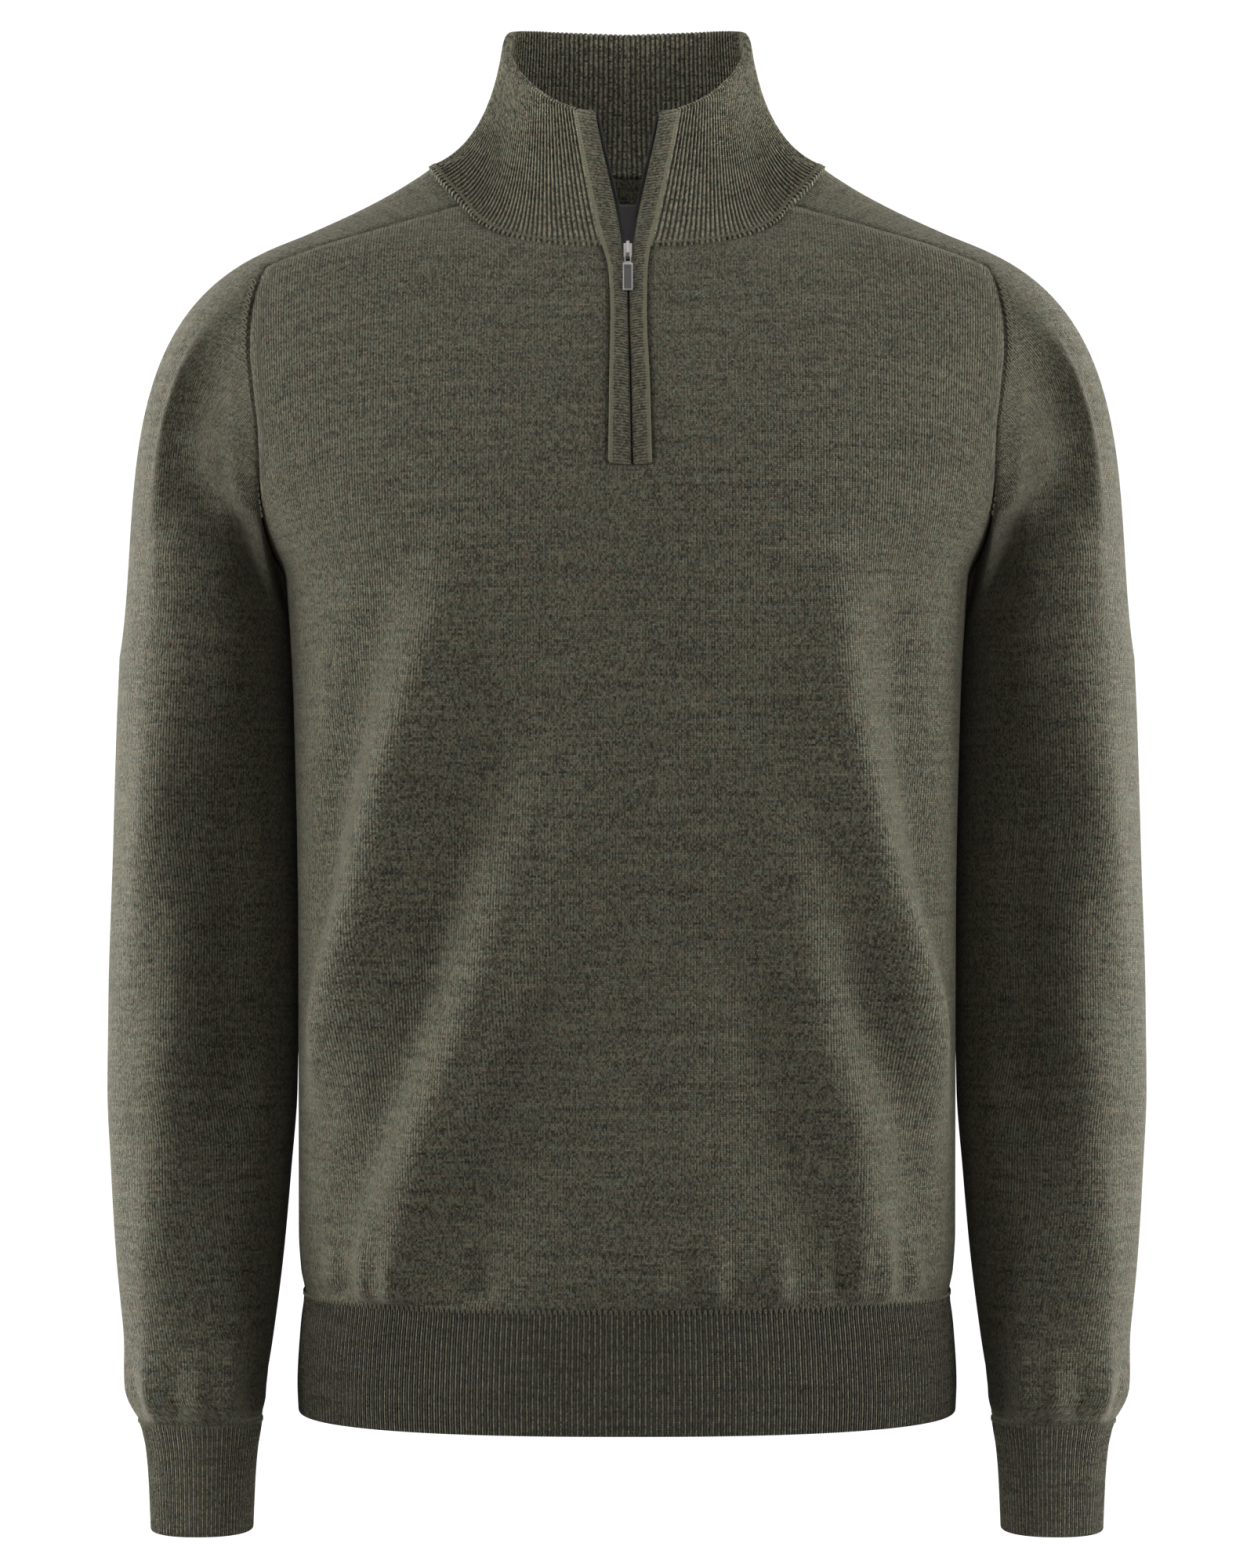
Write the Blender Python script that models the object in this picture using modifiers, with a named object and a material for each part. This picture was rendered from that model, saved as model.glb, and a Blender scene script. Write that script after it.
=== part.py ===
"""Quarter zip sweater, filled out as worn: fine jersey panels, saddle sleeves, ribbed collar, hem and cuffs.

Metres, +Z up, the front faces -Y. The origin is at the middle of the neck base, level with the shoulders'
neck points. All cloth is one continuous outer surface, cut along its seams; each cut piece then becomes a
wall of its own with a narrow gap to its neighbours.
"""

import math

import bmesh
import bpy
import numpy as np
from mathutils import Matrix, Vector

# ---- driving sizes -------------------------------------------------------------------------------------------

SEAM_GAP = 0.0003
JERSEY = 0.0020
RIB_WALL = 0.0024
COLLAR_WALL = 0.0030
PLACKET_WALL = 0.0030
MITRE_LIMIT = 2.5

NECK_FRONT_Z = -0.0525
NECK_BACK_Z = -0.0025
SLOT_FOOT_Z = -0.1610
UNDERARM_Z = -0.2200
HEM_SEAM_Z = -0.5920
HEM_Z = -0.6540
ARM_TOP_Z = -0.2620
CUFF_SEAM_Z = -0.6620
CUFF_Z = -0.7160

# height, left edge of the placket's slot, slit between its strips, right edge
SLOT = (
    (-0.0525, -0.0122, 0.0003, 0.0112),
    (-0.0660, -0.0086, 0.0006, 0.0096),
    (-0.0900, -0.0074, 0.0009, 0.0090),
    (-0.1250, -0.0080, 0.0018, 0.0105),
    (-0.1610, -0.0086, 0.0026, 0.0116),
)

# Cells along each run of cloth. The neck counts are for half of the garment.
NECK_CELLS = 9
SHOULDER_CELLS = 8
STRIP_CELLS = 6
BACK_NECK_CELLS = 8
SLOT_CELLS = 5
YOKE_CELLS = 3
TRUNK_CELLS = 9
TRUNK_SPREAD = 1.25
CAP_CELLS = 8
ARM_CELLS = 11
COLLAR_CELLS = 3
ARMHOLE_CELLS = SLOT_CELLS + YOKE_CELLS

COLLAR_RIBS_A_CELL = 4
HEM_RIBS_A_CELL = 4
CUFF_RIBS_A_CELL = 3
COLLAR_RIB_RISE = 0.0006
HEM_RIB_RISE = 0.0005
CUFF_RIB_RISE = 0.0004

SQUARE = 2.4

# height, half width, depth in front, depth behind
TRUNK = (
    (0.0120, 0.0840, 0.0040, 0.0400),
    (0.0070, 0.0920, 0.0090, 0.0570),
    (0.0030, 0.0955, 0.0120, 0.0690),
    (-0.0045, 0.1010, 0.0175, 0.0745),
    (-0.0160, 0.1170, 0.0270, 0.0800),
    (-0.0277, 0.1380, 0.0350, 0.0850),
    (-0.0410, 0.1662, 0.0500, 0.0900),
    (-0.0525, 0.1925, 0.0645, 0.0945),
    (-0.0640, 0.2095, 0.0710, 0.0985),
    (-0.0800, 0.2180, 0.0795, 0.1040),
    (-0.1000, 0.2200, 0.0900, 0.1100),
    (-0.1300, 0.2165, 0.1035, 0.1165),
    (-0.1600, 0.2105, 0.1135, 0.1210),
    (-0.1850, 0.2000, 0.1195, 0.1235),
    (-0.2050, 0.1872, 0.1215, 0.1235),
    (-0.2200, 0.1785, 0.1220, 0.1225),
    (-0.2400, 0.1765, 0.1220, 0.1205),
    (-0.3000, 0.1735, 0.1200, 0.1120),
    (-0.4000, 0.1715, 0.1185, 0.1060),
    (-0.5000, 0.1713, 0.1190, 0.1080),
    (-0.5600, 0.1712, 0.1195, 0.1110),
    (-0.5800, 0.1700, 0.1190, 0.1105),
    (-0.5920, 0.1680, 0.1165, 0.1085),
    (-0.6080, 0.1698, 0.1175, 0.1095),
    (-0.6400, 0.1716, 0.1186, 0.1110),
    (-0.6540, 0.1710, 0.1182, 0.1106),
)

# share of the seam from the shoulder corner down, half width, height
FRONT_ARMHOLE = (
    (0.00, 0.1862, -0.0640),
    (0.07, 0.1900, -0.0720),
    (0.17, 0.1930, -0.0870),
    (0.28, 0.1936, -0.1020),
    (0.42, 0.1915, -0.1250),
    (0.56, 0.1888, -0.1480),
    (0.70, 0.1880, -0.1710),
    (0.82, 0.1875, -0.1890),
    (0.92, 0.1842, -0.2060),
    (1.00, 0.1785, -0.2200),
)
BACK_ARMHOLE = (
    (0.00, 0.1850, -0.0690),
    (0.10, 0.1890, -0.0820),
    (0.28, 0.1900, -0.1060),
    (0.45, 0.1865, -0.1330),
    (0.62, 0.1840, -0.1600),
    (0.80, 0.1840, -0.1880),
    (0.92, 0.1830, -0.2070),
    (1.00, 0.1785, -0.2200),
)

# share of the shoulder seam from the neck out, half width, distance from the shoulder line
FRONT_SHOULDER = (
    (0.00, 0.0820, 0.0300),
    (0.55, 0.1416, 0.0385),
    (0.78, 0.1630, 0.0405),
    (1.00, 0.1862, 0.0375),
)
BACK_SHOULDER = (
    (0.00, 0.0770, 0.0440),
    (0.35, 0.1150, 0.0455),
    (0.75, 0.1570, 0.0455),
    (1.00, 0.1850, 0.0500),
)
STRIP_NECK_BOW = 0.0125
STRIP_CORNER_BOW = 0.0050

# height, middle x, middle y, half width, half depth
ARM = (
    (-0.2620, 0.2210, 0.0150, 0.0454, 0.0640),
    (-0.3000, 0.2213, 0.0170, 0.0470, 0.0620),
    (-0.3600, 0.2216, 0.0180, 0.0486, 0.0580),
    (-0.4400, 0.2226, 0.0160, 0.0500, 0.0525),
    (-0.4860, 0.2228, 0.0110, 0.0498, 0.0500),
    (-0.5300, 0.2228, 0.0020, 0.0470, 0.0475),
    (-0.5720, 0.2226, -0.0080, 0.0436, 0.0445),
    (-0.6150, 0.2224, -0.0180, 0.0385, 0.0415),
    (-0.6440, 0.2220, -0.0250, 0.0356, 0.0390),
    (-0.6540, 0.2216, -0.0270, 0.0338, 0.0375),
    (-0.6620, 0.2206, -0.0285, 0.0292, 0.0335),
    (-0.6700, 0.2199, -0.0300, 0.0273, 0.0315),
    (-0.6850, 0.2194, -0.0320, 0.0261, 0.0305),
    (-0.7160, 0.2190, -0.0355, 0.0252, 0.0300),
)
ARM_FRONT_ANGLE = math.radians(48)
ARM_SQUARE = 2.15
CAP_RISE = 0.95
CAP_LEAN = 0.16
CAP_REACH = 1.20
GROOVE_REACH = 0.72
CORNER_BLEND = 0.40
GROOVE_FROM = 0.55
GROOVE_TO = 0.92
GROOVE_DIRECTION = (-0.25, 0.0, 0.97)

# share of the way from the front opening to the middle of the back, half width, y, height
COLLAR_RIM = (
    (0.000, 0.0265, -0.0470, 0.0185),
    (0.085, 0.0384, -0.0380, 0.0243),
    (0.195, 0.0509, -0.0200, 0.0350),
    (0.330, 0.0602, 0.0040, 0.0480),
    (0.500, 0.0652, 0.0360, 0.0630),
    (0.660, 0.0634, 0.0620, 0.0738),
    (0.800, 0.0465, 0.0780, 0.0764),
    (1.000, 0.0000, 0.0850, 0.0756),
)
COLLAR_WAIST = 0.80
COLLAR_WAIST_OPENING = 0.30
COLLAR_WAIST_RISE = 0.22

# x and height at the top, x and height at the foot, half width, rise
FRONT_FOLDS = (
    (-0.1170, -0.2600, -0.1540, -0.4500, 0.0260, 0.0045),
    (-0.0520, -0.3500, -0.1180, -0.5300, 0.0340, 0.0050),
    (-0.0560, -0.4400, -0.0820, -0.5750, 0.0260, -0.0050),
    (0.1160, -0.2700, 0.1560, -0.4700, 0.0260, 0.0045),
    (0.0930, -0.3500, 0.1450, -0.5500, 0.0300, 0.0045),
    (0.0760, -0.4200, 0.0950, -0.5500, 0.0240, -0.0045),
)
BACK_FOLDS = (
    (-0.1100, -0.3000, -0.0800, -0.5200, 0.0300, 0.0045),
    (0.0900, -0.2800, 0.1250, -0.4800, 0.0300, 0.0045),
    (0.0150, -0.4200, 0.0300, -0.5600, 0.0280, -0.0040),
)
# x, half width, length up from the hem seam, rise
FRONT_GATHERS = (
    (-0.1510, 0.0090, 0.0450, 0.0020),
    (-0.1316, 0.0090, 0.0550, 0.0020),
    (-0.1159, 0.0085, 0.0450, 0.0018),
    (-0.0736, 0.0120, 0.0500, -0.0018),
    (0.0235, 0.0090, 0.0400, 0.0014),
    (0.0442, 0.0090, 0.0600, 0.0020),
    (0.0767, 0.0090, 0.0500, 0.0018),
    (0.1069, 0.0080, 0.0650, -0.0022),
    (0.1296, 0.0090, 0.0550, 0.0020),
    (0.1468, 0.0080, 0.0450, 0.0018),
)
BACK_GATHERS = (
    (-0.1400, 0.0100, 0.0500, 0.0020),
    (-0.0950, 0.0100, 0.0450, 0.0018),
    (-0.0450, 0.0110, 0.0550, 0.0018),
    (0.0150, 0.0100, 0.0400, 0.0016),
    (0.0620, 0.0110, 0.0550, 0.0020),
    (0.1150, 0.0100, 0.0500, 0.0020),
)
# angle round the arm from outside towards the front, height, half angle, half height, rise
ARM_FOLDS = (
    (60.0, -0.3900, 30.0, 0.0300, -0.0030),
    (100.0, -0.4500, 34.0, 0.0260, 0.0025),
    (75.0, -0.5050, 34.0, 0.0260, -0.0030),
    (110.0, -0.5600, 30.0, 0.0240, 0.0020),
    (-60.0, -0.3400, 34.0, 0.0320, -0.0030),
    (-100.0, -0.4700, 40.0, 0.0300, -0.0030),
    (-70.0, -0.5500, 36.0, 0.0240, 0.0022),
)

PLACKET_RISE = 0.0008
PLACKET_COLLAR_WIDTH = 0.0092
PLACKET_TOP_DROP = 0.4
NECK_OPEN_HALF = 0.0034
SLIT_HALF = 0.0006
TAPE = 0.0008
TAPE_CLEAR = 0.0004
TAPE_UNDER = 0.0060
TAPE_OUT = 0.0016
TAPE_APART = 0.0002

LABEL_CELLS_HALF = 2
LABEL_TOP_SHARE = 0.45
LABEL_CLEAR = 0.0003
LABEL_THICK = 0.0008

# The slider's own frame: X across the zip, Y up along it, Z out of the cloth.
SLIDER_Z = -0.0562
SLIDER_BODY = (0.0042, 0.0078, 0.0026)
SLIDER_BODY_OUT = -0.0003
BRIDGE = (0.0016, 0.0074, 0.0032)
BRIDGE_OUT = 0.0018
BRIDGE_WINDOW = (0.0030, 0.0058, 0.0016)
BRIDGE_WINDOW_OUT = 0.0018
PIN_DOWN = 0.0024
PIN_OUT = 0.0018
PIN_THICK = 0.0007
LINK = (0.0034, 0.0074, 0.0009)
LINK_HOLE = (0.0022, 0.0060)
TAB = (0.0050, 0.0162, 0.0012)
TAB_TOP_DOWN = 0.0066
TAB_FIELD = (0.0038, 0.0130, 0.0003)
TAB_FIELD_DOWN = 0.0008
TAB_EDGE = 0.00015

OLIVE = (0.082, 0.080, 0.058, 1.0)
OLIVE_RIB = (0.070, 0.069, 0.050, 1.0)
TAPE_COLOUR = (0.020, 0.020, 0.017, 1.0)
LABEL_COLOUR = (0.045, 0.042, 0.046, 1.0)
NICKEL = (0.46, 0.45, 0.42, 1.0)


# ---- tables read as smooth curves ----------------------------------------------------------------------------


class Curve:
    """A smooth curve through the rows of a table, read by its first column, that never overshoots a row."""

    def __init__(self, rows):
        table = np.array(sorted(rows), dtype=float)
        self.at, self.values = table[:, 0], table[:, 1:]
        rates = np.diff(self.values, axis=0) / np.diff(self.at)[:, None]
        before, after = rates[:-1], rates[1:]
        total = np.where(before * after > 0, before + after, 1.0)
        inner = np.where(before * after > 0, 2 * before * after / total, 0.0)
        self.rates = np.vstack([rates[:1], inner, rates[-1:]])

    def __call__(self, key):
        i = int(np.clip(np.searchsorted(self.at, key) - 1, 0, len(self.at) - 2))
        step = self.at[i + 1] - self.at[i]
        t = min(max((key - self.at[i]) / step, 0.0), 1.0)
        start, end = self.values[i], self.values[i + 1]
        leave, arrive = self.rates[i] * step, self.rates[i + 1] * step
        return (
            start * (1 + 2 * t) * (1 - t) ** 2
            + leave * t * (1 - t) ** 2
            + end * t * t * (3 - 2 * t)
            + arrive * t * t * (t - 1)
        )


def ease(value, low, high):
    t = min(max((value - low) / (high - low), 0.0), 1.0)
    return t * t * (3 - 2 * t)


def unit(vector):
    return vector / max(np.linalg.norm(vector), 1e-12)


trunk = Curve(TRUNK)
arm = Curve(ARM)
front_armhole = Curve(FRONT_ARMHOLE)
back_armhole = Curve(BACK_ARMHOLE)
front_shoulder = Curve(FRONT_SHOULDER)
back_shoulder = Curve(BACK_SHOULDER)
collar_rim = Curve(COLLAR_RIM)
slot = Curve(SLOT)


# ---- the body's form -----------------------------------------------------------------------------------------


def trunk_point(share, height, side, face):
    """A point of the trunk: its share of the half width, its side (-1 or 1) and its face (-1 front, 1 back)."""
    half_width, front, back = trunk(height)
    depth = front if face < 0 else back
    y = face * depth * max(1 - share**SQUARE, 0.0) ** (1 / SQUARE)
    return np.array([side * half_width * share, y, height])


def side_share(x, height):
    """The share of the trunk's half width that x is, at a height."""
    return min(x / trunk(height)[0], 1.0)


def shoulder_point(x, y):
    """The point on top of the shoulders above x, y."""
    low, high = -0.0900, 0.0120
    for _ in range(40):
        middle = (low + high) / 2
        half_width, front, back = trunk(middle)
        depth = front if y < 0 else back
        inside = (abs(x) / half_width) ** SQUARE + (abs(y) / depth) ** SQUARE < 1
        low, high = (middle, high) if inside else (low, middle)
    return np.array([x, y, low])


def trunk_normal(point):
    """The direction straight out of the trunk at a point of its surface."""
    x, y, z = point
    step = 1e-4

    def level(px, py, pz):
        half_width, front, back = trunk(pz)
        depth = front if py < 0 else back
        return (abs(px) / half_width) ** SQUARE + (abs(py) / depth) ** SQUARE

    here = level(x, y, z)
    slope = [level(x + step, y, z), level(x, y + step, z), level(x, y, z + step)]
    return unit(np.array(slope) - here)


def fold_rise(x, y, z):
    """How far the trunk's cloth stands out of its plain form, from its folds and its gathers over the hem."""
    folds, gathers = (FRONT_FOLDS, FRONT_GATHERS) if y < 0 else (BACK_FOLDS, BACK_GATHERS)
    total = 0.0
    for top_x, top_z, foot_x, foot_z, half, rise in folds:
        along = (top_z - z) / (top_z - foot_z)
        if not -0.4 < along < 1.4:
            continue
        across = x - (top_x + (foot_x - top_x) * along)
        ends = ease(along, -0.4, 0.3) * (1 - ease(along, 0.7, 1.4))
        total += rise * ends * math.exp(-((across / half) ** 2))
    above = z - HEM_SEAM_Z
    for at_x, half, length, rise in gathers:
        if 0 < above < length:
            ends = ease(above, 0, 0.010) * (1 - ease(above, 0.010, length))
            total += 1.5 * rise * ends * math.exp(-(((x - at_x) / half) ** 2))
    side = 1 - ease(abs(x), 0.150, 0.172)
    return total * side * ease(above, 0.0, 0.006)


def arm_ring(angle, height):
    """A point round the arm, from 0 at its outer side to pi / 2 in front."""
    middle_x, middle_y, half_width, half_depth = arm(height)
    out, ahead = math.cos(angle), math.sin(angle)
    power = 2 / ARM_SQUARE
    x = middle_x + half_width * math.copysign(abs(out) ** power, out)
    y = middle_y - half_depth * math.copysign(abs(ahead) ** power, ahead)
    for fold_angle, fold_z, half_angle, half_height, rise in ARM_FOLDS:
        turn = (math.degrees(angle) - fold_angle + 180) % 360 - 180
        level = (height - fold_z) / half_height
        slant = level - turn / half_angle * 0.4
        swell = rise * math.exp(-(slant**2) - (turn / half_angle) ** 2)
        x += swell * out
        y -= swell * ahead
    return np.array([x, y, height])


# ---- runs of points along the seams, shared by the pieces that meet there ------------------------------------


def slot_edge(side, height):
    """How far the placket's slot reaches from the middle plane on this side."""
    left, _, right = slot(height)
    return right if side > 0 else -left


def neck_run(side):
    """The front neckline from the placket's slot out to the shoulder seam."""
    slot_x = slot_edge(side, NECK_FRONT_Z)
    end = shoulder_point(front_shoulder(0)[0], -front_shoulder(0)[1])
    reach_x, drop = end[0], end[2]
    points = []
    for i in range(NECK_CELLS + 1):
        turn = (i / NECK_CELLS) * math.pi / 2
        x = slot_x + (reach_x - slot_x) * math.sin(turn) ** 0.85
        z = drop + (NECK_FRONT_Z - drop) * abs(math.cos(turn)) ** 0.95
        points.append((x, z))
    return points


def shoulder_run(curve, face):
    """A shoulder strip's seam from the neck out to the corner over the armhole."""
    points = []
    for i in range(SHOULDER_CELLS + 1):
        x, y = curve(i / SHOULDER_CELLS)
        points.append((x, shoulder_point(x, face * y)[2]))
    return points


def armhole_run(curve, corner):
    """An armhole's seam from the shoulder corner down to the underarm."""
    points = [corner]
    for i in range(1, ARMHOLE_CELLS):
        points.append(tuple(curve(i / ARMHOLE_CELLS)))
    return points + [(trunk(UNDERARM_Z)[0], UNDERARM_Z)]


def patch(bottom, top, inner, outer):
    """Half widths and heights between four runs that share their corners, rows from bottom to top."""
    bottom, top, inner, outer = (np.array(run) for run in (bottom, top, inner, outer))
    rows, columns = len(inner), len(bottom)
    grid = np.zeros((rows, columns, 2))
    for r in range(rows):
        v = r / (rows - 1)
        for c in range(columns):
            u = c / (columns - 1)
            corners = (
                (1 - u) * (1 - v) * bottom[0]
                + u * (1 - v) * bottom[-1]
                + (1 - u) * v * top[0]
                + u * v * top[-1]
            )
            ruled = (1 - v) * bottom[c] + v * top[c] + (1 - u) * inner[r] + u * outer[r]
            grid[r, c] = ruled - corners
    return grid


def half_panel(top, inner, outer):
    """Shares of the half width and heights of half a panel, from its lowest row up to its top."""
    columns = len(top)
    start = math.asin(side_share(*inner[0]) ** (SQUARE / 2))
    turns = [start + (math.pi / 2 - start) * c / (columns - 1) for c in range(columns)]
    shares = [math.sin(turn) ** (2 / SQUARE) for turn in turns]
    shares[-1] = 1.0
    half_width = trunk(UNDERARM_Z)[0]
    upper = patch([(half_width * share, UNDERARM_Z) for share in shares], top, inner, outer)
    rows = []
    for r in range(TRUNK_CELLS):
        z = HEM_SEAM_Z + (UNDERARM_Z - HEM_SEAM_Z) * (r / TRUNK_CELLS) ** TRUNK_SPREAD
        rows.append([(share, z) for share in shares])
    for row in upper:
        rows.append([(side_share(x, z), z) for x, z in row])
    return rows


def front_half(side):
    neck, shoulder = neck_run(side), shoulder_run(front_shoulder, -1)
    inner = []
    for r in range(ARMHOLE_CELLS + 1):
        if r <= YOKE_CELLS:
            z = UNDERARM_Z + (SLOT_FOOT_Z - UNDERARM_Z) * r / YOKE_CELLS
        else:
            z = SLOT_FOOT_Z + (NECK_FRONT_Z - SLOT_FOOT_Z) * (r - YOKE_CELLS) / SLOT_CELLS
        inner.append((slot_edge(side, z), z))
    outer = armhole_run(front_armhole, shoulder[-1])[::-1]
    return half_panel(neck + shoulder[1:], inner, outer)


def back_half():
    seam = shoulder_run(back_shoulder, 1)
    neck = []
    for i in range(BACK_NECK_CELLS):
        share = i / BACK_NECK_CELLS
        z = NECK_BACK_Z + (seam[0][1] - NECK_BACK_Z) * share**2
        neck.append((seam[0][0] * share, z))
    outer = armhole_run(back_armhole, seam[-1])[::-1]
    top_z = neck[0][1]
    inner = [(0.0, UNDERARM_Z + (top_z - UNDERARM_Z) * r / ARMHOLE_CELLS) for r in range(ARMHOLE_CELLS + 1)]
    return half_panel(neck + seam, inner, outer)


def on_panel(at, side, face):
    """A panel's point, with the folds in it."""
    point = trunk_point(*at, side, face)
    rise = fold_rise(*point)
    return point + trunk_normal(point) * rise if rise else point


# ---- one welded surface, then a wall for each piece ----------------------------------------------------------


class Garment:
    """The cloth's outer surface as welded four-sided cells, each of which belongs to one cut piece."""

    WELD = 2e-5

    def __init__(self):
        self.points, self.index, self.cells, self.grids = [], {}, {}, {}

    def vertex(self, point):
        spot = tuple(int(round(value / self.WELD)) for value in point)
        for near in ((a, b, c) for a in (0, -1, 1) for b in (0, -1, 1) for c in (0, -1, 1)):
            key = (spot[0] + near[0], spot[1] + near[1], spot[2] + near[2])
            if key in self.index:
                return self.index[key]
        self.index[spot] = len(self.points)
        self.points.append(np.array(point, dtype=float))
        return self.index[spot]

    def add(self, piece, rows, skip=lambda r, c: False):
        """Adds rows of points; seen from outside they run left to right and upwards."""
        ids = [[self.vertex(point) for point in row] for row in rows]
        self.grids.setdefault(piece, []).append(ids)
        cells = self.cells.setdefault(piece, [])
        for r in range(len(ids) - 1):
            for c in range(len(ids[0]) - 1):
                if not skip(r, c):
                    cells.append((ids[r][c], ids[r][c + 1], ids[r + 1][c + 1], ids[r + 1][c]))
        return ids

    def finish(self):
        """Works out, for each piece's vertices, the seam bisector, its mitre and the step in from the seam."""
        self.points = np.array(self.points)
        own = {}
        for piece, cells in self.cells.items():
            sums = {}
            for cell in cells:
                a, b, c, d = (self.points[i] for i in cell)
                normal = np.cross(c - a, d - b)
                for i in cell:
                    sums[i] = sums.get(i, 0) + normal
            own[piece] = {i: unit(total) for i, total in sums.items()}
        shared = np.zeros_like(self.points)
        for normals in own.values():
            for i, normal in normals.items():
                shared[i] += normal
        self.normal = np.array([unit(total) for total in shared])
        self.mitre, self.outer = {}, {}
        for piece, cells in self.cells.items():
            normals = own[piece]
            mitre = {i: 1 / max(normals[i] @ self.normal[i], 1 / MITRE_LIMIT) for i in normals}
            steps = {}
            edges = {}
            for cell in cells:
                for a, b in zip(cell, cell[1:] + cell[:1]):
                    edges[(a, b)] = True
            for a, b in edges:
                if (b, a) in edges:
                    continue
                for i in (a, b):
                    inward = unit(np.cross(normals[i], self.points[b] - self.points[a]))
                    steps.setdefault(i, []).append(inward)
            self.outer[piece] = {}
            for i in normals:
                point = self.points[i].copy()
                if i in steps:
                    turn = sum(steps[i])
                    size = max(turn @ turn / len(steps[i]), 0.3)
                    point = point + turn / size * (SEAM_GAP / 2) * mitre[i]
                self.outer[piece][i] = point
            self.mitre[piece] = mitre

    def inner_point(self, piece, i, wall):
        return self.outer[piece][i] - self.normal[i] * wall * self.mitre[piece][i]


def material(name, colour, roughness, metallic=0.0):
    made = bpy.data.materials.new(name)
    made.use_nodes = True
    shader = made.node_tree.nodes["Principled BSDF"]
    shader.inputs["Base Color"].default_value = colour
    shader.inputs["Roughness"].default_value = roughness
    shader.inputs["Metallic"].default_value = metallic
    made.diffuse_color = colour
    return made


def new_object(name, mesh, surface):
    piece = bpy.data.objects.new(name, mesh)
    bpy.data.collections["quarter_zip_sweater"].objects.link(piece)
    mesh.materials.append(surface)
    return piece


def wall_object(name, points, faces, surface):
    """A closed mesh of points and faces, its corners that no face uses dropped, shaded smooth."""
    shape = bmesh.new()
    verts = [shape.verts.new(point) for point in points]
    for face in faces:
        shape.faces.new([verts[i] for i in face])
    loose = [vert for vert in shape.verts if not vert.link_faces]
    bmesh.ops.delete(shape, geom=loose, context="VERTS")
    bmesh.ops.recalc_face_normals(shape, faces=shape.faces)
    mesh = bpy.data.meshes.new(name)
    shape.to_mesh(mesh)
    shape.free()
    mesh.shade_smooth()
    mesh.set_sharp_from_angle(angle=math.radians(50))
    return new_object(name, mesh, surface)


def edge_faces(outer_a, outer_b, inner_b, inner_a, from_a):
    """A wall's cut edge as two triangles, split the same way on both sides of a seam."""
    if from_a:
        return [[outer_a, outer_b, inner_b], [outer_a, inner_b, inner_a]]
    return [[outer_a, outer_b, inner_a], [outer_b, inner_b, inner_a]]


def plain_wall(garment, name, wall, surface):
    """A piece of even thickness."""
    ids = sorted(garment.outer[name])
    place = {i: k for k, i in enumerate(ids)}
    count = len(ids)
    points = [garment.outer[name][i] for i in ids]
    points += [garment.inner_point(name, i, wall) for i in ids]
    faces, edges = [], set()
    for cell in garment.cells[name]:
        faces.append([place[i] for i in cell])
        faces.append([place[i] + count for i in reversed(cell)])
        edges.update(zip(cell, cell[1:] + cell[:1]))
    for a, b in edges:
        if (b, a) not in edges:
            faces += edge_faces(place[b], place[a], place[a] + count, place[b] + count, b < a)
    return wall_object(name, points, faces, surface)


def ribbed_wall(garment, name, wall, ribs_a_cell, rise, surface, closed):
    """A piece whose ribs stand up on its outside between its columns, over a plain inside."""
    (ids,) = garment.grids[name]
    rows, columns = len(ids), len(ids[0]) - (1 if closed else 0)
    cells_across = columns if closed else columns - 1
    dense = cells_across * ribs_a_cell * 2 + (0 if closed else 1)
    points, outer_at, inner_at = [], {}, {}
    for r in range(rows):
        for k in range(dense):
            cell, part = divmod(k, ribs_a_cell * 2)
            a, b = ids[r][cell], ids[r][min(cell + 1, len(ids[0]) - 1)]
            share = part / (ribs_a_cell * 2)
            point = garment.outer[name][a] * (1 - share) + garment.outer[name][b] * share
            normal = unit(garment.normal[a] * (1 - share) + garment.normal[b] * share)
            outer_at[r, k] = len(points)
            points.append(point + normal * rise * (k % 2))
        for c in range(columns):
            inner_at[r, c] = len(points)
            points.append(garment.inner_point(name, ids[r][c], wall))
    faces = []
    for r in range(rows - 1):
        for k in range(dense if closed else dense - 1):
            after = (k + 1) % dense if closed else k + 1
            faces.append([outer_at[r, k], outer_at[r, after], outer_at[r + 1, after], outer_at[r + 1, k]])
        for c in range(cells_across):
            after = (c + 1) % columns
            faces.append([inner_at[r, after], inner_at[r, c], inner_at[r + 1, c], inner_at[r + 1, after]])
        if not closed:
            faces.append([outer_at[r, 0], outer_at[r + 1, 0], inner_at[r + 1, 0], inner_at[r, 0]])
            last = columns - 1
            faces.append(
                [outer_at[r + 1, dense - 1], outer_at[r, dense - 1], inner_at[r, last], inner_at[r + 1, last]]
            )
    for r, turned in ((0, False), (rows - 1, True)):
        for c in range(cells_across):
            first = c * ribs_a_cell * 2
            run = [outer_at[r, (first + k) % dense] for k in range(ribs_a_cell * 2 + 1)]
            face = [inner_at[r, c], inner_at[r, (c + 1) % columns]] + run[::-1]
            faces.append(face[::-1] if turned else face)
    return wall_object(name, points, faces, surface)


# ---- the pieces ----------------------------------------------------------------------------------------------


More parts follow.
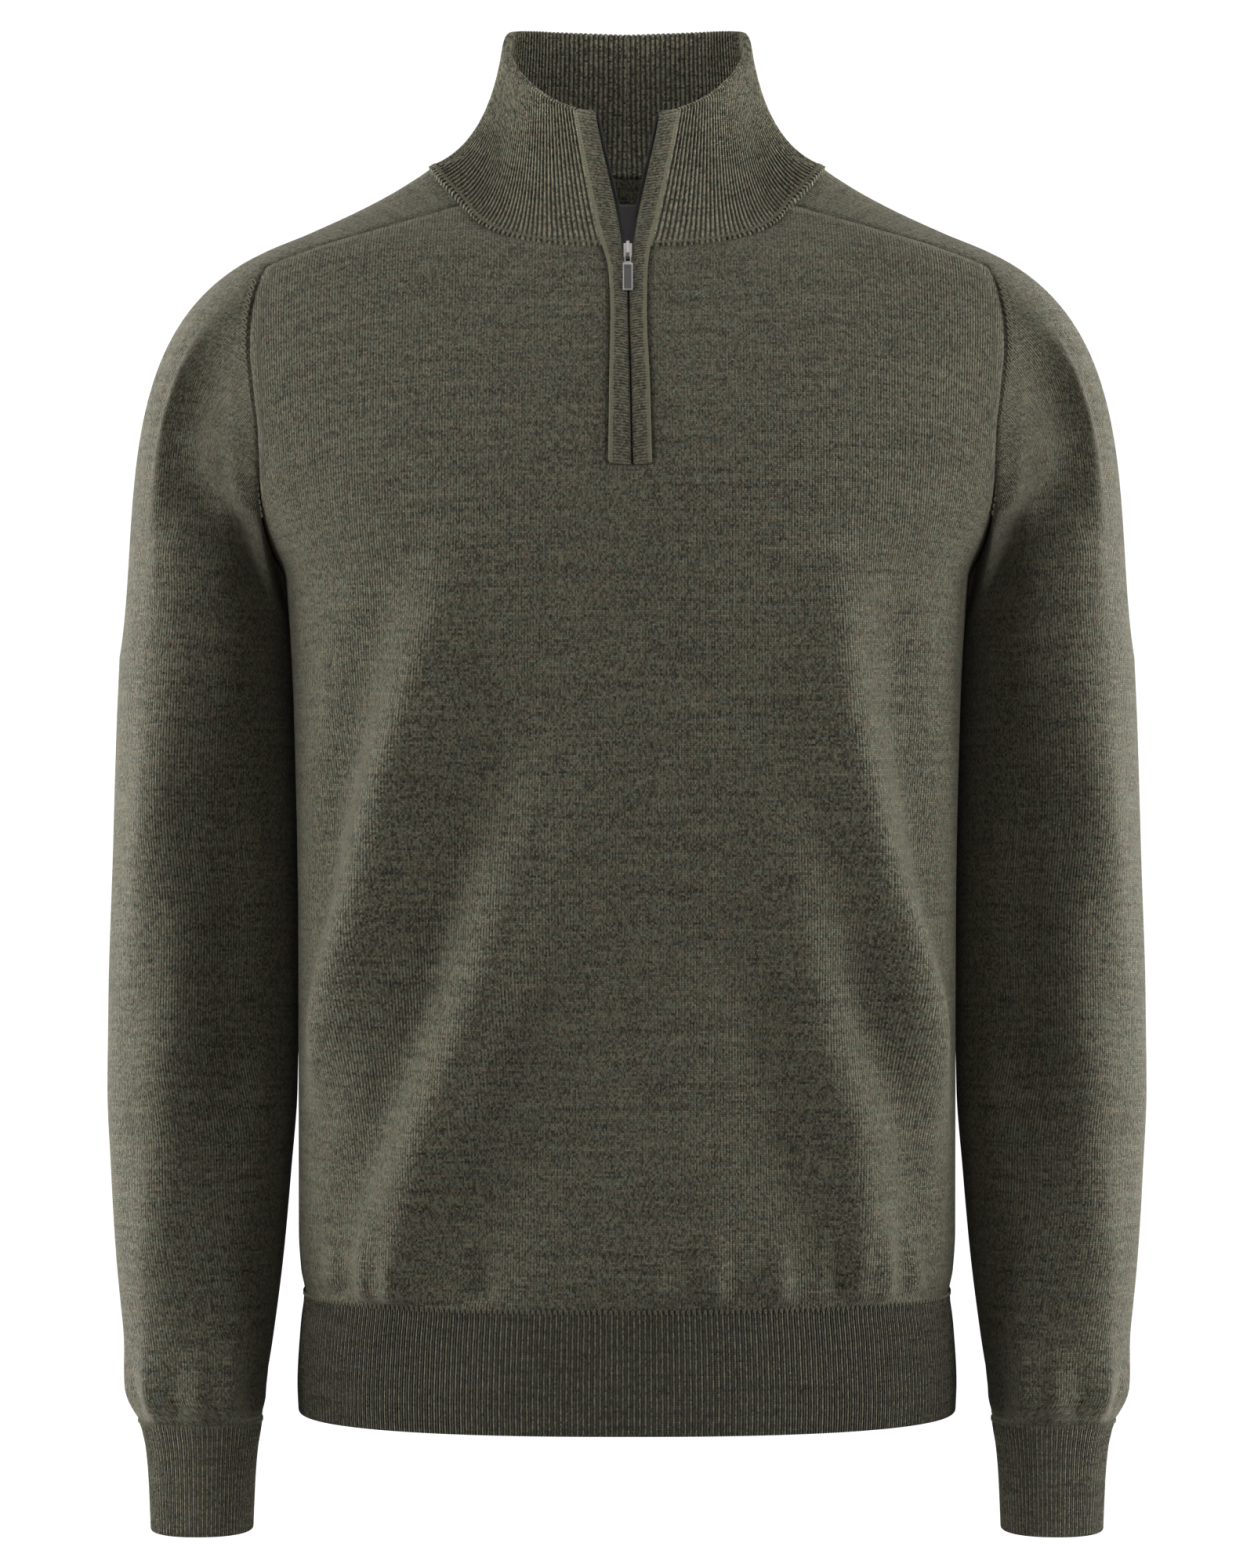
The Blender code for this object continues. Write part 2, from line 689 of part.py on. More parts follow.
def add_panels(garment):
    """Front with its slot for the placket, and back."""
    left, right = front_half(-1), front_half(1)
    rows = []
    for r in range(len(left)):
        row = [on_panel(at, -1, -1) for at in left[r][::-1]] + [on_panel(at, 1, -1) for at in right[r]]
        rows.append(row)
    middle = NECK_CELLS + SHOULDER_CELLS
    slot_row = TRUNK_CELLS + YOKE_CELLS
    garment.add("front_panel", rows, lambda r, c: c == middle and r >= slot_row)
    half = back_half()
    rows = []
    for line in half:
        rows.append([on_panel(at, 1, 1) for at in line[::-1]] + [on_panel(at, -1, 1) for at in line[1:]])
    garment.add("back_panel", rows)
    return left, right, half


def add_hem(garment, left, right, half):
    """The rib band that goes on from the panels' lowest row, with no folds of its own."""
    around = [(share, -1, -1) for share, _ in left[0][::-1]] + [(share, 1, -1) for share, _ in right[0]]
    around += [(share, 1, 1) for share, _ in half[0][-2::-1]] + [(share, -1, 1) for share, _ in half[0][1:]]
    rows = [[trunk_point(share, z, side, face) for share, side, face in around] for z in (HEM_Z, HEM_SEAM_Z)]
    garment.add("hem_rib", rows)


def seam_point(at, face):
    """A point on the +X side's seams from its half width and height."""
    return trunk_point(side_share(*at), at[1], 1, face)


def strip_rows():
    """The part of a sleeve that runs over the shoulder, from its corners in to the neck, for the +X side."""
    front, back = shoulder_run(front_shoulder, -1), shoulder_run(back_shoulder, 1)
    rows = []
    for i in range(SHOULDER_CELLS + 1):
        ahead = seam_point(front[i], -1)
        behind = seam_point(back[i], 1)
        out = i / SHOULDER_CELLS
        bow = STRIP_NECK_BOW * (1 - out) ** 2 + STRIP_CORNER_BOW * out**2
        row = []
        for k in range(STRIP_CELLS + 1):
            share = k / STRIP_CELLS
            x, y, _ = ahead * (1 - share) + behind * share
            x += bow * math.sin(math.pi * share)
            row.append(shoulder_point(x, y) if 0 < k < STRIP_CELLS else (ahead if k == 0 else behind))
        rows.append(row)
    return rows[::-1]


def sleeve_columns(strip_foot):
    """Where each column round a sleeve starts on the arm, where it ends, and the way it leaves there."""
    front_corner, back_corner = shoulder_run(front_shoulder, -1)[-1], shoulder_run(back_shoulder, 1)[-1]
    front = [seam_point(at, -1) for at in armhole_run(front_armhole, front_corner)]
    back = [seam_point(at, 1) for at in armhole_run(back_armhole, back_corner)]
    columns = []

    def over_shoulder(point):
        return unit(shoulder_point(point[0] - 0.006, point[1]) - point)

    def seam_column(run, i, angle, turn):
        share = i / ARMHOLE_CELLS
        along = unit(run[min(i + 1, ARMHOLE_CELLS)] - run[max(i - 1, 0)])
        inward = unit(np.cross(trunk_normal(run[i]), along)) * turn
        corner = 1 - ease(share, 0.0, CORNER_BLEND)
        inward = unit(inward * (1 - corner) + over_shoulder(run[0]) * corner)
        groove = ease(share, GROOVE_FROM, GROOVE_TO)
        leave = unit(inward * (1 - groove) + unit(np.array(GROOVE_DIRECTION)) * groove)
        columns.append((angle, run[i], leave * (1 - groove + GROOVE_REACH * groove)))

    for i in range(ARMHOLE_CELLS, 0, -1):
        share = i / ARMHOLE_CELLS
        angle = ARM_FRONT_ANGLE + (math.pi - ARM_FRONT_ANGLE) * share
        seam_column(front, i, angle, -1)
    for k, point in enumerate(strip_foot):
        share = k / STRIP_CELLS
        angle = ARM_FRONT_ANGLE * (1 - 2 * share)
        columns.append((angle, point, over_shoulder(point)))
    for i in range(1, ARMHOLE_CELLS + 1):
        share = i / ARMHOLE_CELLS
        angle = -ARM_FRONT_ANGLE - (math.pi - ARM_FRONT_ANGLE) * share
        seam_column(back, i, angle, 1)
    return columns


def sleeve_rows():
    """Rows from the cuff's edge up to the armhole for the +X sleeve, then the strip over the shoulder."""
    strip = strip_rows()
    columns = sleeve_columns(strip[0])
    tube = []
    for r in range(ARM_CELLS + 1):
        z = CUFF_SEAM_Z + (ARM_TOP_Z - CUFF_SEAM_Z) * (r / ARM_CELLS) ** 1.25
        tube.append([arm_ring(angle, z) for angle, _, _ in columns])
    cap = []
    for r in range(1, CAP_CELLS + 1):
        t = r / CAP_CELLS
        row = []
        for (angle, end, leave), start in zip(columns, tube[-1]):
            far = np.linalg.norm(end - start)
            rise = np.array([-CAP_LEAN * max(math.cos(angle), 0.0), 0, CAP_RISE]) * far
            reach = leave * far * CAP_REACH
            point = (
                start * (1 + 2 * t) * (1 - t) ** 2
                + rise * t * (1 - t) ** 2
                + end * t * t * (3 - 2 * t)
                + reach * t * t * (t - 1)
            )
            row.append(point)
        cap.append(row)
    angles = [angle for angle, _, _ in columns]
    return tube + cap, strip, angles


def mirrored(rows):
    """Rows for the -X side, which run the other way round so that they still face out."""
    flip = np.array([-1.0, 1.0, 1.0])
    return [[point * flip for point in row[::-1]] for row in rows]


def add_sleeves(garment):
    rows, strip, angles = sleeve_rows()
    cuff = [[arm_ring(angle, z) for angle in angles] for z in (CUFF_Z, CUFF_SEAM_Z)]
    for name, turned in (("left", False), ("right", True)):
        for piece, part in ((f"sleeve_{name}", rows), (f"sleeve_{name}", strip), (f"cuff_{name}", cuff)):
            garment.add(piece, mirrored(part) if turned else part)
    return strip


def add_collar(garment, left, right, half, strip):
    """The stand collar, from the neckline's points up to its rim, open in front."""
    rings = []
    for side, panel, end in ((-1, left, mirrored([strip[-1]])[0][::-1]), (1, right, strip[-1])):
        front = [on_panel(at, side, -1) for at in panel[-1][: NECK_CELLS + 1]]
        back = [on_panel(at, side, 1) for at in half[-1][BACK_NECK_CELLS::-1]]
        base = front + end[1:] + back[1:]
        count = len(base) - 1
        lengths = np.cumsum([0] + [np.linalg.norm(base[i + 1] - base[i]) for i in range(count)])
        columns = []
        for i, foot in enumerate(base):
            x, y, z = collar_rim(lengths[i] / lengths[-1])
            rim = np.array([side * x, y, z])
            waist = foot * (1 - COLLAR_WAIST) + rim * COLLAR_WAIST
            front = 1 - ease(lengths[i] / lengths[-1], 0.0, 0.2)
            draw = COLLAR_WAIST * (1 - front) + COLLAR_WAIST_OPENING * front
            waist[0] = foot[0] * (1 - draw) + rim[0] * draw
            waist[2] = foot[2] * (1 - COLLAR_WAIST_RISE) + rim[2] * COLLAR_WAIST_RISE
            column = []
            for r in range(COLLAR_CELLS + 1):
                t = r / COLLAR_CELLS
                column.append(foot * (1 - t) ** 2 + waist * 2 * t * (1 - t) + rim * t * t)
            columns.append(column)
        rings.append(columns)
    order = rings[1][:-1] + rings[0][::-1]
    garment.add("collar", [[column[r] for column in order] for r in range(COLLAR_CELLS + 1)])
    return rings


def add_plackets(garment, left, right, rings):
    """The knitted strips that bind the slot and the collar's front edges, up from the slot's foot."""
    foot = TRUNK_CELLS + YOKE_CELLS
    for name, side, panel, columns in (("right", -1, left, rings[0]), ("left", 1, right, rings[1])):
        rows = []
        for line in panel[foot:-1]:
            edge = on_panel(line[0], side, -1)
            _, slit_x, _ = slot(edge[2])
            free = np.array([slit_x + side * SLIT_HALF, edge[1], edge[2]])
            rows.append((edge, free, trunk_normal(edge)))
        neck = columns[0][0]
        free = np.array([slot(neck[2])[1] + side * NECK_OPEN_HALF, neck[1], neck[2]])
        rows.append((neck, free, trunk_normal(neck)))
        for r in range(1, COLLAR_CELLS + 1):
            edge, beside, below = columns[0][r], columns[1][r], columns[0][r - 1]
            across = unit((edge - beside) * (1, 1, PLACKET_TOP_DROP))
            out = unit(np.cross(edge - below, across)) * side
            rows.append((edge, edge + across * PLACKET_COLLAR_WIDTH, out))
        lines = []
        for edge, free, out in rows:
            ridge = edge * 0.55 + free * 0.45 + out * PLACKET_RISE
            line = [edge, ridge, free + out * PLACKET_RISE / 2]
            lines.append(line if side < 0 else line[::-1])
        garment.add(f"placket_{name}", lines)


def tape_object(garment, name, side, surface):
    """Half of the zip's tape, behind its strip, with its edge in the opening."""
    (ids,) = garment.grids[f"placket_{name}"]
    ids = [row if side < 0 else row[::-1] for row in ids]
    points = []
    for r, row in enumerate(ids):
        edge, free = garment.points[row[0]], garment.points[row[-1]]
        across = unit(free - edge)
        closed = r < SLOT_CELLS
        out = SLIT_HALF - TAPE_APART if closed else TAPE_OUT
        back = garment.normal[row[-1]] * -(PLACKET_WALL + PLACKET_RISE / 2 + TAPE_CLEAR)
        for depth in (0.0, TAPE):
            for reach in (-TAPE_UNDER, out):
                points.append(free + across * reach + back - garment.normal[row[-1]] * depth)
    last = len(ids) - 1
    faces = [[0, 1, 3, 2], [4 * last, 4 * last + 2, 4 * last + 3, 4 * last + 1]]
    for r in range(last):
        for a, b in ((0, 1), (1, 3), (3, 2), (2, 0)):
            faces.append([4 * r + a, 4 * r + b, 4 * r + 4 + b, 4 * r + 4 + a])
    return wall_object(f"zip_tape_{name}", points, faces, surface)


def label_object(garment, surface):
    """The woven label on the inside of the back, under the collar, made from the panel's own inner points."""
    (ids,) = garment.grids["back_panel"]
    middle = BACK_NECK_CELLS + SHOULDER_CELLS
    columns = range(middle - LABEL_CELLS_HALF, middle + LABEL_CELLS_HALF + 1)

    def inner(r, c, depth):
        i = ids[r][c]
        return garment.inner_point("back_panel", i, JERSEY) - garment.normal[i] * (LABEL_CLEAR + depth)

    lines = []
    for depth in (0.0, LABEL_THICK):
        neck, middle_row, foot = ([inner(r, c, depth) for c in columns] for r in (-1, -2, -3))
        top = [a * (1 - LABEL_TOP_SHARE) + b * LABEL_TOP_SHARE for a, b in zip(neck, middle_row)]
        lines.append([top, middle_row, foot])
    rows, across = len(lines[0]), len(columns)
    points = [point for line in lines for row in line for point in row]
    layer = rows * across
    faces = []
    for r in range(rows - 1):
        for c in range(across - 1):
            a = r * across + c
            cell = [a, a + 1, a + across + 1, a + across]
            faces += [cell, [i + layer for i in cell[::-1]]]
    rim = list(range(across)) + [(r + 1) * across - 1 for r in range(1, rows)]
    rim += list(range(layer - 2, layer - across - 1, -1)) + [r * across for r in range(rows - 2, 0, -1)]
    for a, b in zip(rim, rim[1:] + rim[:1]):
        faces.append([a, b, b + layer, a + layer])
    return wall_object("neck_label", points, faces, surface)


# ---- the slider and its pull tab -----------------------------------------------------------------------------


def block(name, size, centre, surface=None):
    """A box in the slider's frame; without a surface it is a cutter."""
    bpy.ops.mesh.primitive_cube_add(size=1)
    made = bpy.context.active_object
    made.name = name
    made.data.name = name
    made.data.transform(Matrix.Translation(centre) @ Matrix.Diagonal((*size, 1.0)))
    for collection in list(made.users_collection):
        collection.objects.unlink(made)
    if surface:
        bpy.data.collections["quarter_zip_sweater"].objects.link(made)
        made.data.materials.append(surface)
    else:
        bpy.data.collections["cutters"].objects.link(made)
        made.hide_render = True
        made.display_type = "WIRE"
    return made


def combine(piece, other, operation):
    step = piece.modifiers.new(other.name, "BOOLEAN")
    step.operation = operation
    step.object = other
    step.solver = "EXACT"


def add_slider(surface):
    """The slider with its bridge, and the pull tab whose link turns in the bridge's window."""
    _, slit_x, _ = slot(SLIDER_Z)
    seat = seam_point((0.0, SLIDER_Z), -1)
    out = unit(trunk_normal(seat))
    slope = math.atan2(-out[1], out[2])
    place = Matrix.Translation((slit_x, seat[1], seat[2])) @ Matrix.Rotation(slope, 4, "X")
    body = block("zip_slider", SLIDER_BODY, (0, 0, SLIDER_BODY_OUT), surface)
    combine(body, block("bridge", BRIDGE, (0, 0, BRIDGE_OUT)), "UNION")
    combine(body, block("window", BRIDGE_WINDOW, (0, 0, BRIDGE_WINDOW_OUT)), "DIFFERENCE")

    # The tab's own origin is its link's pin, on the joint's axis.
    tab = block("zip_pull_tab", TAB, (0, -TAB_TOP_DOWN - TAB[1] / 2, 0), surface)
    field = (0, -TAB_TOP_DOWN - TAB_FIELD_DOWN - TAB[1] / 2, TAB[2] / 2)
    recess = (TAB_FIELD[0], TAB_FIELD[1], TAB_FIELD[2] * 2)
    combine(tab, block("field", recess, field), "DIFFERENCE")
    combine(tab, block("link", LINK, (0, -LINK[1] / 2 + PIN_THICK / 2, 0)), "UNION")
    hole = (LINK_HOLE[0], LINK_HOLE[1] - PIN_THICK, LINK[2] * 3)
    combine(tab, block("link_hole", hole, (0, -PIN_THICK / 2 - hole[1] / 2, 0)), "DIFFERENCE")
    foot = seam_point((0.0, seat[2] - TAB[1]), -1)
    lean = math.atan2(seat[1] - foot[1], seat[2] - foot[2])
    pin = Matrix.Translation(place @ Vector((0, -PIN_DOWN, PIN_OUT)))
    pin = pin @ Matrix.Rotation(math.pi / 2 - lean, 4, "X")
    for piece in bpy.data.objects:
        if piece.name in ("zip_slider", "bridge", "window"):
            piece.matrix_world = place
        elif piece.name in ("zip_pull_tab", "field", "link", "link_hole"):
            piece.matrix_world = pin
    for piece in (body, tab):
        edge = piece.modifiers.new("edge", "BEVEL")
        edge.width = TAB_EDGE
        edge.segments = 1
        edge.limit_method = "ANGLE"


def build():
    garment = Garment()
    left, right, half = add_panels(garment)
    add_hem(garment, left, right, half)
    strip = add_sleeves(garment)
    rings = add_collar(garment, left, right, half, strip)
    add_plackets(garment, left, right, rings)
    garment.finish()
    olive = material("olive_jersey", OLIVE, 0.85)
    rib = material("olive_rib", OLIVE_RIB, 0.88)
    for name in ("front_panel", "back_panel", "sleeve_left", "sleeve_right"):
        plain_wall(garment, name, JERSEY, olive)
    ribbed_wall(garment, "collar", COLLAR_WALL, COLLAR_RIBS_A_CELL, COLLAR_RIB_RISE, rib, False)
    ribbed_wall(garment, "hem_rib", RIB_WALL, HEM_RIBS_A_CELL, HEM_RIB_RISE, rib, True)
    for name in ("cuff_left", "cuff_right"):
        ribbed_wall(garment, name, RIB_WALL, CUFF_RIBS_A_CELL, CUFF_RIB_RISE, rib, True)
    tape = material("zip_tape", TAPE_COLOUR, 0.8)
    for name, side in (("right", -1), ("left", 1)):
        plain_wall(garment, f"placket_{name}", PLACKET_WALL, rib)
        tape_object(garment, name, side, tape)
    label_object(garment, material("label", LABEL_COLOUR, 0.7))
    add_slider(material("nickel", NICKEL, 0.3, 1.0))


for old in list(bpy.data.objects):
    bpy.data.objects.remove(old)
for title in ("quarter_zip_sweater", "cutters"):
    bpy.context.scene.collection.children.link(bpy.data.collections.new(title))
build()
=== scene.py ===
"""Quarter zip sweater, filled out as worn: the looks of each knitted piece, its seams, its zip and its label."""

import math

import bmesh
import bpy
import numpy as np
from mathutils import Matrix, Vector
from mathutils.kdtree import KDTree


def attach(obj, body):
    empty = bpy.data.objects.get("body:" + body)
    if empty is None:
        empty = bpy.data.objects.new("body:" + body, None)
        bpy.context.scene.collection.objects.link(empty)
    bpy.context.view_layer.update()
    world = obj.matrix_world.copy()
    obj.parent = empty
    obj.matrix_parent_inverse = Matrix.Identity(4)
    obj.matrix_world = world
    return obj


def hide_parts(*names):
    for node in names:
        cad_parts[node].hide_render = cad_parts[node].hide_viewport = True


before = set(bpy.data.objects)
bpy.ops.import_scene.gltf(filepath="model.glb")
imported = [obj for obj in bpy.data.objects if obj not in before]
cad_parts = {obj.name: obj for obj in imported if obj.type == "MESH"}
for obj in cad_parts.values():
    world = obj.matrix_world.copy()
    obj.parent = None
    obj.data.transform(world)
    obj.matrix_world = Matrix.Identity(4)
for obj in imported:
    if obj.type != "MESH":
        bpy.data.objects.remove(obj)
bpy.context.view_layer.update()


# ---- the studio ----------------------------------------------------------------------
# A round pale studio whose floor sweeps up into its wall, three tall soft boxes at each of the garment's sides, a
# small one in front, one overhead, a narrow lamp that shines down into the neck, and a level camera.

VIEW_DISTANCE = 2.6
VIEW_HEIGHT = -0.328
FRAME_HEIGHT = 0.82
FLOOR_Z = -1.45
STUDIO_RADIUS = 8.0
STUDIO_HEIGHT = 12.0
STUDIO_SWEEP = 1.2
WHITE = (1.0, 1.0, 1.0, 1.0)
WORLD_LIGHT = 0.13
BOX_HEIGHT = -0.10
BOX_AIM = (0.0, 0.0, -0.35)
BOX_SIZE = (0.8, 1.8)
# name, distance out to the side, distance behind the garment's middle, watts
SIDE_BOXES = (
    ("fore", 1.82, -1.05, 22),
    ("side", 2.10, 0.0, 41),
    ("rear", 1.72, 1.20, 50),
)

scene = bpy.context.scene
scene.view_settings.view_transform = "Standard"


def placed(name, data):
    """An object made of the given data, put into the scene."""
    made = bpy.data.objects.new(name, data)
    scene.collection.objects.link(made)
    return made


camera = placed("camera", bpy.data.cameras.new("camera"))
camera.data.sensor_width = 36.0
camera.data.lens = camera.data.sensor_width * VIEW_DISTANCE / FRAME_HEIGHT
camera.location = (0.0, -VIEW_DISTANCE, VIEW_HEIGHT)
camera.rotation_euler = (math.pi / 2, 0.0, 0.0)
scene.camera = camera

shape = bmesh.new()
bmesh.ops.create_cone(
    shape,
    cap_ends=True,
    cap_tris=False,
    segments=96,
    radius1=STUDIO_RADIUS,
    radius2=STUDIO_RADIUS,
    depth=STUDIO_HEIGHT,
)
bmesh.ops.reverse_faces(shape, faces=shape.faces)
bmesh.ops.bevel(shape, geom=shape.edges, offset=STUDIO_SWEEP, segments=8, affect="EDGES", clamp_overlap=True)
bmesh.ops.translate(shape, verts=shape.verts, vec=(0.0, 0.0, FLOOR_Z + STUDIO_HEIGHT / 2))
studio_mesh = bpy.data.meshes.new("studio_round")
shape.to_mesh(studio_mesh)
shape.free()
studio_mesh.shade_smooth()
studio = placed("studio_round", studio_mesh)
for ray in ("diffuse", "glossy", "transmission", "shadow"):
    setattr(studio, f"visible_{ray}", False)
paper = bpy.data.materials.new("studio_paper")
paper.use_nodes = True
paper_shader = paper.node_tree.nodes["Principled BSDF"]
paper_shader.inputs["Base Color"].default_value = (0.85, 0.85, 0.85, 1.0)
paper_shader.inputs["Roughness"].default_value = 0.9
paper_shader.inputs["Emission Color"].default_value = WHITE
paper_shader.inputs["Emission Strength"].default_value = 1.0
studio_mesh.materials.append(paper)

world = bpy.data.worlds.new("studio")
world.use_nodes = True
background = world.node_tree.nodes["Background"]
background.inputs["Color"].default_value = WHITE
background.inputs["Strength"].default_value = WORLD_LIGHT
scene.world = world


def facing(direction):
    return Vector(direction).to_track_quat("-Z", "Y").to_euler()


def soft_box(name, place, aim, size, watts):
    """A rectangular area light that faces a point."""
    light = placed(name, bpy.data.lights.new(name, "AREA"))
    light.data.shape = "RECTANGLE"
    light.data.size, light.data.size_y = size
    light.data.energy = watts
    light.location = place
    light.rotation_euler = facing(Vector(aim) - Vector(place))


for side in (-1, 1):
    for name, out, behind, watts in SIDE_BOXES:
        soft_box(f"{name}_box_{side}", (side * out, behind, BOX_HEIGHT), BOX_AIM, BOX_SIZE, watts)
soft_box("front_box", (0.0, -2.95, -0.25), (0.0, 0.0, -0.20), (0.5, 0.5), 7)
soft_box("overhead_box", (0.0, 0.1, 1.7), (0.0, 0.0, -0.2), (1.4, 1.0), 9)
neck_lamp = placed("neck_lamp", bpy.data.lights.new("neck_lamp", "SPOT"))
neck_lamp.data.energy, neck_lamp.data.shadow_soft_size = 52, 0.10
neck_lamp.data.spot_size, neck_lamp.data.spot_blend = math.radians(5.4), 0.6
neck_lamp.location = (0.0, -1.29, 0.77)
neck_lamp.rotation_euler = facing((0.0, 1.39, -0.80))


# ---- front and back panels -----------------------------------------------------------
# The body's two panels, fully fashioned in a fine single jersey of melange merino, its stitches a little over a
# millimetre apart. Wales run straight up to the shoulder and armhole seams, and the front has a slot for the
# placket. Filled out, the cloth hangs from the shoulders, bags softly over the rib and gathers there.

JERSEY = 0.0014
JERSEY_WALE = 0.0015
JERSEY_COURSE = 0.00113
NECK_FRONT_Z = -0.0525
NECK_BACK_Z = -0.0025
SLOT_FOOT_Z = -0.1680
UNDERARM_Z = -0.2200
HEM_SEAM_Z = -0.5920
SQUARE = 2.4
FINE = 5
NECK_CELLS = 9 * FINE
SHOULDER_CELLS = 8 * FINE
BACK_NECK_CELLS = 8 * FINE
SLOT_CELLS = 5 * FINE
YOKE_CELLS = 3 * FINE
TRUNK_CELLS = 100
ARMHOLE_CELLS = SLOT_CELLS + YOKE_CELLS
BRIDGE_COLUMNS = 9
TRUNK_SPREAD = 1.25
NECK_BEND_X, NECK_BEND_Z = 0.85, 0.95
SHOULDER_SEARCH = (-0.0900, 0.0120)
FOLD_GAIN, CREASE_GAIN, GATHER_GAIN = 1.5, 1.9, 2.6
TROUGH_GAIN, TROUGH_AWAY, TROUGH_HALF = 1.5, 0.031, 0.014
FOLD_STARTS, FOLD_ENDS = (-0.4, 0.3), (0.7, 1.4)
GATHER_PEAK, GATHER_START = 0.010, 0.006
SIDE_FADE = (0.150, 0.172)
SEAM_DIP, SEAM_DIP_HALF = 0.0004, 0.0014
WELD = 2e-5


class Curve:
    """A smooth curve through the rows of a table, read by its first column, that never overshoots a row."""

    def __init__(self, rows):
        table = np.array(sorted(rows), dtype=float)
        self.at, self.values = table[:, 0], table[:, 1:]
        rates = np.diff(self.values, axis=0) / np.diff(self.at)[:, None]
        before, after = rates[:-1], rates[1:]
        total = np.where(before * after > 0, before + after, 1.0)
        inner = np.where(before * after > 0, 2 * before * after / total, 0.0)
        self.rates = np.vstack([rates[:1], inner, rates[-1:]])

    def __call__(self, key):
        key = np.asarray(key, dtype=float)
        i = np.clip(np.searchsorted(self.at, key) - 1, 0, len(self.at) - 2)
        step = self.at[i + 1] - self.at[i]
        t = np.clip((key - self.at[i]) / step, 0, 1)[..., None]
        leave, arrive = self.rates[i] * step[..., None], self.rates[i + 1] * step[..., None]
        start, end = self.values[i], self.values[i + 1]
        rise = start * (1 + 2 * t) * (1 - t) ** 2 + leave * t * (1 - t) ** 2
        return rise + end * t * t * (3 - 2 * t) + arrive * t * t * (t - 1)


def ease(value, low, high):
    t = np.clip((value - low) / (high - low), 0, 1)
    return t * t * (3 - 2 * t)


def unit(vectors):
    return vectors / np.maximum(np.linalg.norm(vectors, axis=-1, keepdims=True), 1e-12)


def points_of(*columns):
    return np.stack(np.broadcast_arrays(*columns), axis=-1)


def bell(away, half):
    """A rounded rise, 1 at its middle and a little over a third at its half width."""
    return np.exp(-((away / half) ** 2))


# height, half width, depth in front, depth behind
trunk = Curve((
    (0.0120, 0.0840, 0.0040, 0.0400),
    (0.0070, 0.0920, 0.0090, 0.0570),
    (0.0030, 0.0955, 0.0120, 0.0690),
    (-0.0045, 0.1010, 0.0175, 0.0745),
    (-0.0160, 0.1170, 0.0270, 0.0800),
    (-0.0277, 0.1380, 0.0350, 0.0850),
    (-0.0410, 0.1662, 0.0500, 0.0900),
    (-0.0525, 0.1925, 0.0645, 0.0945),
    (-0.0640, 0.2095, 0.0710, 0.0985),
    (-0.0800, 0.2180, 0.0795, 0.1040),
    (-0.1000, 0.2200, 0.0900, 0.1100),
    (-0.1300, 0.2165, 0.1035, 0.1165),
    (-0.1600, 0.2105, 0.1135, 0.1210),
    (-0.1850, 0.2000, 0.1195, 0.1235),
    (-0.2050, 0.1872, 0.1215, 0.1235),
    (-0.2200, 0.1785, 0.1220, 0.1225),
    (-0.2400, 0.1765, 0.1220, 0.1205),
    (-0.3000, 0.1735, 0.1200, 0.1120),
    (-0.4000, 0.1715, 0.1185, 0.1060),
    (-0.5000, 0.1713, 0.1190, 0.1080),
    (-0.5600, 0.1712, 0.1195, 0.1110),
    (-0.5800, 0.1700, 0.1190, 0.1105),
    (-0.5920, 0.1680, 0.1165, 0.1085),
    (-0.6080, 0.1698, 0.1175, 0.1095),
    (-0.6400, 0.1716, 0.1186, 0.1110),
    (-0.6540, 0.1710, 0.1182, 0.1106),
))
# height, left edge of the placket's slot, slit between its strips, right edge
slot = Curve((
    (-0.0525, -0.0122, 0.0003, 0.0112),
    (-0.0660, -0.0086, 0.0006, 0.0096),
    (-0.0900, -0.0074, 0.0009, 0.0090),
    (-0.1250, -0.0080, 0.0018, 0.0105),
    (-0.1680, -0.0086, 0.0026, 0.0116),
))
# share of the seam from the shoulder corner down, half width, height
front_armhole = Curve((
    (0.00, 0.1862, -0.0640),
    (0.07, 0.1900, -0.0720),
    (0.17, 0.1930, -0.0870),
    (0.28, 0.1936, -0.1020),
    (0.42, 0.1915, -0.1250),
    (0.56, 0.1888, -0.1480),
    (0.70, 0.1880, -0.1710),
    (0.82, 0.1875, -0.1890),
    (0.92, 0.1842, -0.2060),
    (1.00, 0.1785, -0.2200),
))
back_armhole = Curve((
    (0.00, 0.1850, -0.0690),
    (0.10, 0.1890, -0.0820),
    (0.28, 0.1900, -0.1060),
    (0.45, 0.1865, -0.1330),
    (0.62, 0.1840, -0.1600),
    (0.80, 0.1840, -0.1880),
    (0.92, 0.1830, -0.2070),
    (1.00, 0.1785, -0.2200),
))
# share of the shoulder seam from the neck out, half width, distance from the shoulder line
front_shoulder = Curve((
    (0.00, 0.0820, 0.0300),
    (0.55, 0.1416, 0.0385),
    (0.78, 0.1630, 0.0405),
    (1.00, 0.1862, 0.0375),
))
back_shoulder = Curve((
    (0.00, 0.0770, 0.0440),
    (0.35, 0.1150, 0.0455),
    (0.75, 0.1570, 0.0455),
    (1.00, 0.1850, 0.0500),
))
